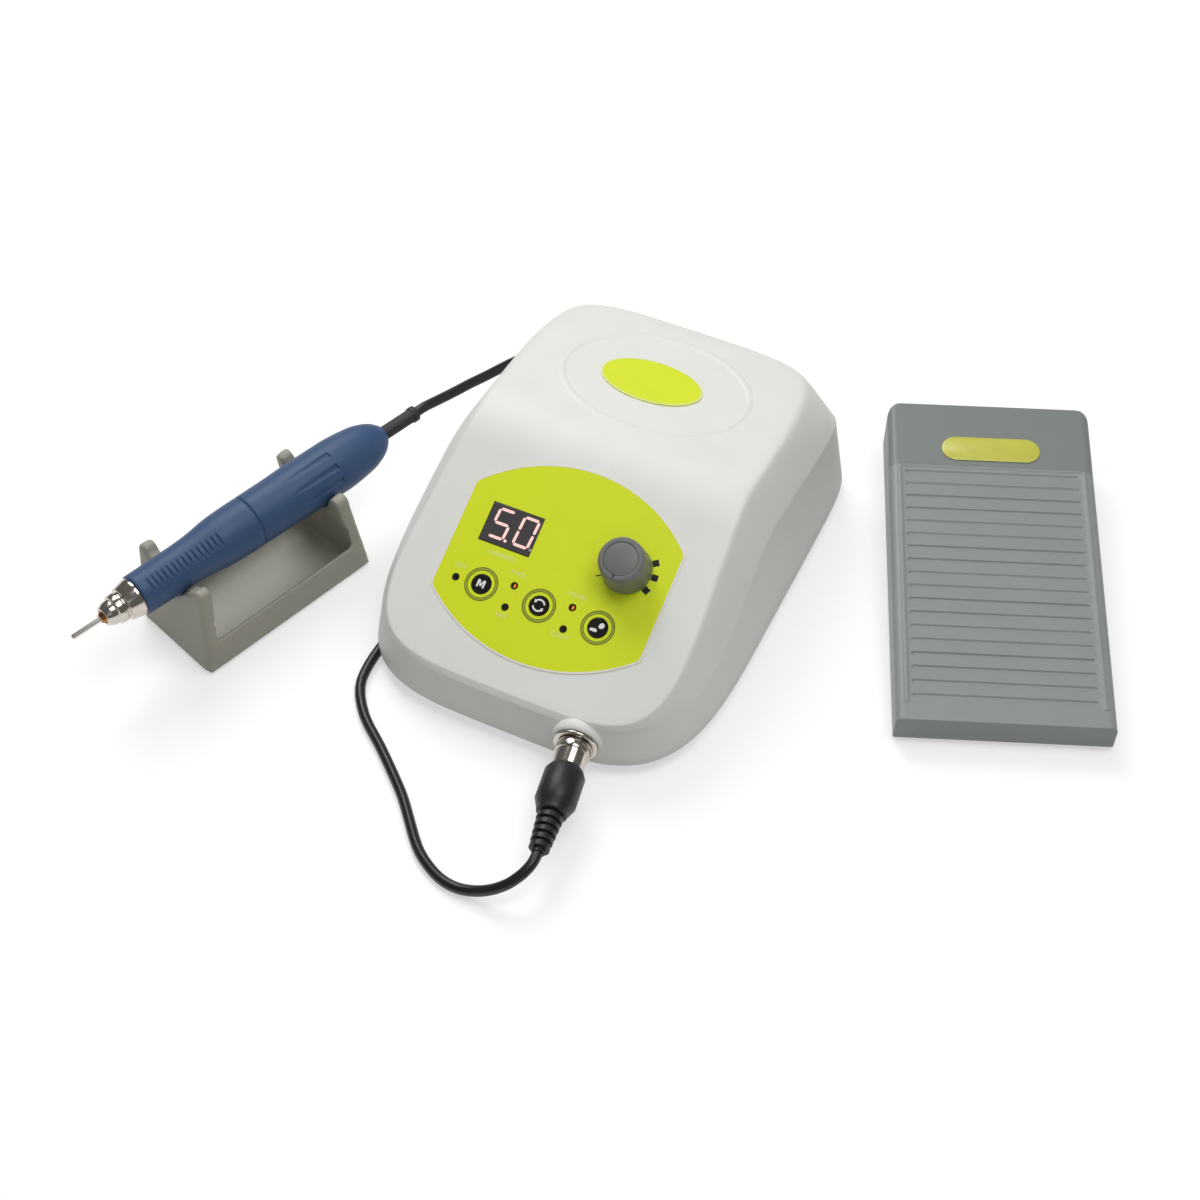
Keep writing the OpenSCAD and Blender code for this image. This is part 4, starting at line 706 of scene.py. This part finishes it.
def add_sleeve(node, skin, bore, station, columns, depth):
    """A sleeve with its outside cut by a depth, and a plain bore."""
    rows = [(r, z, False) for r, z in bore[-1:]] + [(r, z, True) for r, z in skin]
    rows += [(r, z, False) for r, z in bore]

    def spot(share, row):
        angle = 2*math.pi*share
        r, z, cut = rows[row]
        r -= depth(angle, z, r) if cut else 0
        return r*math.cos(angle), r*math.sin(angle), z
    sleeve = surface(columns, len(rows) - 1, spot)
    settle(sleeve, handpiece_place(station))
    smooth(sleeve, 55)
    sleeve.name = node + "_skin"
    stand_for(sleeve, node)


def add_sleeves():
    line = [(0.6, 10), (0.27*FRONT_L, 10.2), (0.46*FRONT_L, 10.4), (0.58*FRONT_L, 11), (0.7*FRONT_L, 12.2),
            (0.83*FRONT_L, 12.6), (FRONT_L - 1, 12.7)]
    skin = [(eased(line, z, 4), z) for z in stations((0.6, 4.5, 1), (4.5, 45, 0.17), (45, 63, 1))]
    skin = [(9.5, 0), *skin, (12.6, FRONT_L - 0.5), (12.3, FRONT_L - 0.2)]
    add_sleeve("front_sleeve", skin, [(8.4, FRONT_L - 0.2), (8.4, 0)], SEAM - FRONT_L, 128, groove_depth)
    tail = 0.985*REAR_L
    line = [(0.8, 12.7), (0.2*REAR_L, 12.8), (0.35*REAR_L, 13.2), (0.64*REAR_L, 13.2), (0.73*REAR_L, 12.6),
            (0.825*REAR_L, 11.6), (0.88*REAR_L, 10.2), (0.925*REAR_L, 8.65), (0.962*REAR_L, 6.6),
            (tail, 4.2)]
    spans = ((0.8, 20, 1.6), (20, 46, 0.8), (46, 47.2, 0.12), (47.2, 66, 1), (66, tail, 0.5))
    skin = [(eased(line, z, 2.2), z) for z in stations(*spans)]
    bore = [(3.5, tail), (3.5, 66), (11.22, 66), (11.22, 0)]
    add_sleeve("rear_sleeve", [(12.3, 0), (12.55, 0.4), *skin], bore, SEAM, 256, scoop_depth)


def add_nose():
    profile = [(3.3, 0), (4.4, 0), (5.7, 2.4), (6.0, 4.4), (6.0, 5.2), (7.0, 5.6), (7.3, 8.6), (6.8, 9),
               (6.8, 10), (8.0, 10.4), (9.4, 16), (9.4, 17.2), (8.2, 17.2), (8.2, 19.5), (3.3, 19.5),
               (3.3, 0)]
    nose = turned(eased_corners(profile, 0.35))
    settle(nose, handpiece_place(SEAM - FRONT_L - NOSE_L))
    smooth(nose, 60)
    nose.name = "nose_cone_skin"
    stand_for(nose, "nose_cone")


# Pedal

PEDAL = Vector((170, 65.3, 0))
PEDAL_TURN = math.radians(22.3)
PLAIN_FROM = 51.25
# Painted shade: how much darker the plain end is painted, for the sheen that the grooved field catches.
PLAIN_PAINTED_SHADE = 0.79
PLAIN_SOFT = 0.6
BRUSH_STRETCH = 14


def brush_and_shade_treadle():
    """Grain drawn out across the treadle, and painted shade on its plain end beyond the grooves, standing in
    for the sheen that the grooved field catches.
    """
    tree = finish["treadle_grey"].node_tree
    shader = tree.nodes["Principled BSDF"]
    drawn = tree.nodes.new("ShaderNodeMapping")
    drawn.vector_type = "TEXTURE"
    drawn.inputs["Location"].default_value = PEDAL*MM
    drawn.inputs["Rotation"].default_value = (0, 0, PEDAL_TURN)
    drawn.inputs["Scale"].default_value = (BRUSH_STRETCH, 1, 1)
    tree.links.new(tree.nodes["Texture Coordinate"].outputs["Object"], drawn.inputs["Vector"])
    tree.links.new(drawn.outputs["Vector"], tree.nodes["Noise Texture"].inputs["Vector"])
    along = tree.nodes.new("ShaderNodeSeparateXYZ")
    tree.links.new(drawn.outputs["Vector"], along.inputs["Vector"])
    # Painted shade: darkens the colour beyond the start of the plain end.
    shade = tree.nodes.new("ShaderNodeMapRange")
    shade.inputs["From Min"].default_value = (PLAIN_FROM - PLAIN_SOFT)*MM
    shade.inputs["From Max"].default_value = (PLAIN_FROM + PLAIN_SOFT)*MM
    shade.inputs["To Min"].default_value = 1
    shade.inputs["To Max"].default_value = PLAIN_PAINTED_SHADE
    tree.links.new(along.outputs["Y"], shade.inputs["Value"])
    darker = tree.nodes.new("ShaderNodeVectorMath")
    darker.operation = "SCALE"
    tree.links.new(tree.nodes["Mix"].outputs["Result"], darker.inputs[0])
    tree.links.new(shade.outputs["Result"], darker.inputs["Scale"])
    tree.links.new(darker.outputs["Vector"], shader.inputs["Base Color"])


def add_spring():
    """The return spring, wound from wire."""
    wire, turns, pressed = 1.5, 7, 0.59
    low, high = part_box("return_spring")
    radius = (high.x - low.x)/2 - wire/2*MM
    rise = (high.z - low.z - wire*MM)/turns
    deselect()
    bpy.ops.mesh.primitive_circle_add(vertices=12, radius=wire/2*MM, fill_type="NOTHING",
                                      location=(radius, 0, wire/2*MM), rotation=(math.pi/2, 0, 0))
    coil = bpy.context.object
    settle(coil, coil.matrix_world)
    apply_modifier(coil, "SCREW", axis="Z", angle=2*math.pi, screw_offset=rise, iterations=turns,
                   steps=32, render_steps=32, use_merge_vertices=False)
    bpy.ops.object.mode_set(mode="EDIT")
    bpy.ops.mesh.select_all(action="SELECT")
    bpy.ops.mesh.fill_holes(sides=0)
    bpy.ops.mesh.select_all(action="SELECT")
    bpy.ops.mesh.normals_make_consistent(inside=False)
    bpy.ops.object.mode_set(mode="OBJECT")
    foot = Vector(((low.x + high.x)/2, (low.y + high.y)/2, low.z))
    settle(coil, Matrix.Translation(foot))
    smooth(coil, 60)
    coil.name = "return_spring_coil"
    stand_for(coil, "return_spring")
    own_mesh(coil)


# Panel prints, with a painted highlight round the panel and painted shade in the key grooves

SHEET = 0.3
PANEL_Y, PANEL_Z = -57, 53.257


def on_panel(u, v, lift=SHEET + 0.04):
    """A place on the sloping panel: millimetres across it, up it and above the housing's face."""
    up = Vector((0, math.cos(SLOPE), math.sin(SLOPE)))
    out = Vector((0, -math.sin(SLOPE), math.cos(SLOPE)))
    p = Vector((u, PANEL_Y, PANEL_Z)) + v*up + lift*out
    return Matrix.Translation(p*MM) @ Matrix.Rotation(SLOPE, 4, "X")


def turn_up(piece):
    """Turns a flat piece's faces to its +Z side."""
    if sum(p.normal.z*p.area for p in piece.data.polygons) < 0:
        select_only(piece)
        bpy.ops.object.mode_set(mode="EDIT")
        bpy.ops.mesh.select_all(action="SELECT")
        bpy.ops.mesh.flip_normals()
        bpy.ops.object.mode_set(mode="OBJECT")


def flat_ring(r_out, r_in, points=64):
    """A flat ring, drawn in from a circle."""
    deselect()
    bpy.ops.mesh.primitive_circle_add(vertices=points, radius=r_out*MM, fill_type="NOTHING")
    bpy.ops.object.mode_set(mode="EDIT")
    bpy.ops.mesh.select_all(action="SELECT")
    bpy.ops.mesh.extrude_region()
    share = r_in/r_out
    bpy.ops.transform.resize(value=(share, share, share), center_override=(0, 0, 0))
    bpy.ops.mesh.select_all(action="SELECT")
    bpy.ops.mesh.normals_make_consistent(inside=False)
    bpy.ops.object.mode_set(mode="OBJECT")
    ring = bpy.context.object
    turn_up(ring)
    return ring


def flat_shape(corners):
    """A flat face with those corners, pulled from a circle's points."""
    deselect()
    bpy.ops.mesh.primitive_circle_add(vertices=len(corners), radius=MM, fill_type="NGON")
    piece = bpy.context.object
    for vertex, corner in zip(piece.data.vertices, corners):
        vertex.co = (corner[0]*MM, corner[1]*MM, 0)
    turn_up(piece)
    return piece


def words(body, size, bold=0.0):
    """Printed words, as a flat mesh."""
    deselect()
    bpy.ops.object.text_add()
    text = bpy.context.object
    text.data.body = body
    text.data.size = size*MM
    text.data.align_x = "CENTER"
    text.data.align_y = "CENTER"
    text.data.offset = bold*MM
    text.data.resolution_u = 3
    select_only(text)
    bpy.ops.object.convert(target="MESH")
    return bpy.context.object


def joined(pieces):
    """Several pieces as one."""
    deselect()
    for piece in pieces:
        piece.select_set(True)
    bpy.context.view_layer.objects.active = pieces[0]
    bpy.ops.object.join()
    return bpy.context.object


def panel_reach(angle, grow):
    """Distance from the panel's middle to its outline, in one direction."""
    half, up, down, rise, drop = 52, 31, 20.5, 22, 20
    top_r = (half*half + rise*rise)/(2*rise)
    low_r = (half*half + drop*drop)/(2*drop)
    c, s = math.cos(angle), math.sin(angle)
    reach = [(half + grow)/max(abs(c), 1e-6)]
    for middle, r in ((up + rise - top_r, top_r), (low_r - down - drop, low_r)):
        reach.append(middle*s + math.sqrt((r + grow)**2 - (middle*c)**2))
    return min(reach)


# A pale line round the panel's outline: a painted highlight on the rim of its recess.
def add_panel_edge():
    count = 180
    ring = flat_ring(50, 49, count)
    for vertex in ring.data.vertices:
        angle = math.atan2(vertex.co.y, vertex.co.x)
        outer = vertex.co.length > 49.5*MM
        reach = panel_reach(angle, 0.0 if outer else -0.75)
        vertex.co = (reach*math.cos(angle)*MM, reach*math.sin(angle)*MM, 0)
    give(ring, painted_edge_highlight)
    place(ring, "panel_edge_line", "control_set", "panel_green", on_panel(0, 0))


KEY_TOP = 0.92


# The rings round each key are painted shade: the shaded edges and floor of an embossed groove.
def add_key_groove_shades():
    for k in range(3):
        u = KEY_U + k*KEY_PITCH
        rings = (("outer", 7.8, 7.45, 0.06, groove_edge_shade), ("band", 7.5, 6.5, 0.03, groove_floor_shade),
                 ("inner", 6.6, 6.3, 0.06, groove_edge_shade))
        for name, out, inn, lift, look in rings:
            ring = flat_ring(out, inn)
            give(ring, look)
            place(ring, f"key_{name}_ring_{k + 1}", "control_set", "panel_green",
                  on_panel(u, KEY_V, SHEET + lift))


def arc_arrow(turn):
    """One curved arrow, a third of a ring with a head."""
    r_out, r_in, reach = 3.0, 2.2, 118
    steps = 12
    angles = [math.radians(turn + reach*i/steps) for i in range(steps + 1)]
    outer = [(r_out*math.cos(a), r_out*math.sin(a)) for a in angles]
    inner = [(r_in*math.cos(a), r_in*math.sin(a)) for a in reversed(angles)]
    a = angles[-1]
    head = [((r_out + 0.5)*math.cos(a), (r_out + 0.5)*math.sin(a)),
            (2.6*math.cos(a + 0.5), 2.6*math.sin(a + 0.5)),
            ((r_in - 0.5)*math.cos(a), (r_in - 0.5)*math.sin(a))]
    return flat_shape(outer + head + inner)


def add_key_icons():
    letter = flat_shape([(-1.9, -1.8), (-1.0, -1.8), (-1.0, 0.5), (-0.35, -1.2), (0.35, -1.2), (1.0, 0.5),
                         (1.0, -1.8), (1.9, -1.8), (1.9, 1.8), (0.75, 1.8), (0, -0.1), (-0.75, 1.8),
                         (-1.9, 1.8)])
    give(letter, white_ink)
    place(letter, "memory_mark", "key_memory", "gloss_black", on_panel(KEY_U, KEY_V, KEY_TOP))
    arrows = joined([arc_arrow(20), arc_arrow(200)])
    give(arrows, white_ink)
    place(arrows, "reverse_mark", "key_reverse", "gloss_black",
          on_panel(KEY_U + KEY_PITCH, KEY_V, KEY_TOP))
    hand = flat_shape([(0.4, 0.2), (1.4, -0.2), (2.5, 0.3), (2.9, 1.4), (2.5, 2.3), (1.5, 2.7), (0.7, 2.1),
                       (0.3, 1.2)])
    foot = flat_shape([(-3.0, -2.3), (0.0, -2.3), (0.4, -1.3), (-0.4, -0.7), (-1.5, -0.8), (-3.0, -1.1)])
    marks = joined([hand, foot])
    give(marks, white_ink)
    place(marks, "mode_mark", "key_mode", "gloss_black",
          on_panel(KEY_U + 2*KEY_PITCH, KEY_V, KEY_TOP))


def add_labels():
    for name, body, u, v, size in (("on", "ON", -41.7, -8.3, 3.3), ("speed", "x1000RPM", -26, 2.1, 3.2),
                                   ("forward", "FWD", -15.4, -3, 3.1), ("reverse", "REV", -14.9, -23.2, 3.1),
                                   ("hand", "HAND", 13.8, -2.9, 3.1), ("foot", "FOOT", 13.6, -22.5, 3.1)):
        text = words(body, size)
        give(text, pale_ink)
        place(text, "label_" + name, "control_set", "panel_green", on_panel(u, v))


def add_dial_marks():
    """Three squares at the fast end of the knob's turn, and a thin line at the slow end."""
    away = 13
    marks = ((33, 1.5, 1.5), (3, 1.5, 1.5), (-27, 1.5, 1.5), (212, 1.3, 0.25))
    for k, (turn, reach, half) in enumerate(marks):
        angle = math.radians(turn)
        mark = flat_shape([(-reach, -half), (reach, -half), (reach, half), (-reach, half)])
        give(mark, mark_black)
        spot = on_panel(KNOB[0] + away*math.cos(angle), KNOB[1] + away*math.sin(angle))
        place(mark, f"dial_mark_{k + 1}", "control_set", "panel_green",
              spot @ Matrix.Rotation(angle, 4, "Z"))


SEGMENTS = {"a": (0, 1, 0), "b": (0.5, 0.5, 90), "c": (0.5, -0.5, 90), "d": (0, -1, 0),
            "e": (-0.5, -0.5, 90), "f": (-0.5, 0.5, 90), "g": (0, 0, 0)}


def add_digit(name, middle, lit):
    """A seven-segment digit, lit as named."""
    width, height, bar = 7.2, 13.4, 1.35
    bars = []
    for key in lit:
        x, y, turn = SEGMENTS[key]
        half = (height/4 if turn else width/2) - 0.2
        corners = [(-half, 0), (-half + bar/2, -bar/2), (half - bar/2, -bar/2), (half, 0),
                   (half - bar/2, bar/2), (-half + bar/2, bar/2)]
        a = math.radians(turn)
        laid = [(c[0]*math.cos(a) - c[1]*math.sin(a) + x*width, c[0]*math.sin(a) + c[1]*math.cos(a)
                 + y*height/2) for c in corners]
        bars.append(flat_shape([(p[0] + 0.05*p[1], p[1]) for p in laid]))
    digit = joined(bars)
    give(digit, segment_lit)
    place(digit, name, "control_set", "display_dark", on_panel(*middle, SHEET + 0.05))


def add_display():
    add_digit("digit_left", (-32.2, 15.9), "afgcd")
    add_digit("digit_right", (-19.9, 15.9), "abcdef")
    for name, u, look in (("left", -27.5, segment_lit), ("right", -15.0, segment_dim)):
        dot = flat_ring(0.75, 0.02, 20)
        give(dot, look)
        place(dot, "digit_point_" + name, "control_set", "display_dark", on_panel(u, 9.1, SHEET + 0.05))


def add_lamps():
    """Lit halves of the two lamps that glow."""
    for name, (u, v) in (("forward", LAMPS[1]), ("hand", LAMPS[3])):
        half = flat_shape([(0, -1.0), (0.7, -0.75), (1.0, 0), (0.7, 0.75), (0, 1.0), (-0.2, 0)])
        give(half, lamp_lit)
        place(half, "lamp_" + name, "control_set", "led", on_panel(u, v, 0.42))


# Floor, light and picture

FLOOR_LIFT = 0.5
SKY_LEVEL, SKY_GLOSS, SKY_SEEN = 0.29, -0.15, 0.71


def add_floor():
    """A white floor that keeps the shadows, lifted a little for the camera's and reflected rays."""
    deselect()
    bpy.ops.mesh.primitive_plane_add(size=6)
    floor = bpy.context.object
    floor.name = "floor"
    floor.location.z = -0.0002
    look = paint("floor_white", (208, 208, 208), 0.7, grain=0.0, mottle=0.0)
    tree = look.node_tree
    shader = tree.nodes["Principled BSDF"]
    shader.inputs["Emission Color"].default_value = (1, 1, 1, 1)
    rays = tree.nodes.new("ShaderNodeLightPath")
    seen = tree.nodes.new("ShaderNodeMath")
    seen.operation = "ADD"
    tree.links.new(rays.outputs["Is Camera Ray"], seen.inputs[0])
    tree.links.new(rays.outputs["Is Glossy Ray"], seen.inputs[1])
    both = tree.nodes.new("ShaderNodeMath")
    both.operation = "ADD"
    tree.links.new(seen.outputs[0], both.inputs[0])
    tree.links.new(rays.outputs["Is Transmission Ray"], both.inputs[1])
    lift = tree.nodes.new("ShaderNodeMath")
    lift.operation = "MULTIPLY"
    lift.inputs[1].default_value = FLOOR_LIFT
    tree.links.new(both.outputs[0], lift.inputs[0])
    tree.links.new(lift.outputs[0], shader.inputs["Emission Strength"])
    give(floor, look)


def add_sky():
    """A plain sky, white to the camera and dimmer in reflections."""
    world = bpy.data.worlds.new("studio")
    bpy.context.scene.world = world
    world.use_nodes = True
    sky = world.node_tree
    sky.nodes["Background"].inputs["Color"].default_value = (1, 0.985, 0.94, 1)
    path = sky.nodes.new("ShaderNodeLightPath")
    level = sky.nodes.new("ShaderNodeMath")
    level.operation = "MULTIPLY_ADD"
    level.inputs[1].default_value = SKY_GLOSS
    level.inputs[2].default_value = SKY_LEVEL
    sky.links.new(path.outputs["Is Glossy Ray"], level.inputs[0])
    whole = sky.nodes.new("ShaderNodeMath")
    whole.operation = "MULTIPLY_ADD"
    whole.inputs[1].default_value = SKY_SEEN
    sky.links.new(path.outputs["Is Camera Ray"], whole.inputs[0])
    sky.links.new(level.outputs[0], whole.inputs[2])
    sky.links.new(whole.outputs[0], sky.nodes["Background"].inputs["Strength"])


def add_lights():
    aim = Vector((0, 0, 0.03))
    lamps = (("key", (-0.8, 0.75, 1.3), 0.9, 12.5), ("top", (0.32, -0.02, 1.25), 0.7, 5.4),
             ("front", (0.5, -1.2, 1.0), 0.8, 0.6))
    for name, spot, size, power in lamps:
        deselect()
        bpy.ops.object.light_add(type="AREA", location=spot)
        light = bpy.context.object
        light.name = name + "_light"
        light.data.size = size
        light.data.energy = power
        light.rotation_euler = (aim - Vector(spot)).to_track_quat("-Z", "Y").to_euler()


def set_view():
    scene = bpy.context.scene
    scene.view_settings.view_transform = "Standard"
    scene.view_settings.look = "None"


# The set, piece by piece

add_camera()
barrel = dress("plug_barrel", 30, bevel=0.3)
grip = dress("plug_grip", 40, bevel=0.8, segments=3)
relief = dress("plug_relief", 40)
tie = dress("hank_tie", 30, bevel=0.3)
add_cord()

add_housing()
dress_flat("panel_overlay")
dress("speed_knob", 40, bevel=0.7, segments=3)
dress("knob_cap", 30, bevel=0.3)
dress("display_window", 20, bevel=0.15)
for key in ("memory_key", "reverse_key", "mode_key"):
    dress(key, 30)
dress_flat("top_badge")
add_badge_rim()
dress("motor_socket", 30, bevel=0.35)
add_panel_edge()
add_key_groove_shades()
add_key_icons()
add_labels()
add_dial_marks()
add_display()
add_lamps()

add_nose()
dress("bur", 40)
add_sleeves()
dress("cord_sleeve", 40, bevel=0.4)
round_off("cradle", 0.7, 40, 0.4, upright=4)
dress("pedal_base", 40)
brush_and_shade_treadle()
round_off("treadle", 0.42, 3, 0.3)
dress("pedal_badge", 40, bevel=0.3)
add_spring()

add_floor()
add_sky()
add_lights()
set_view()
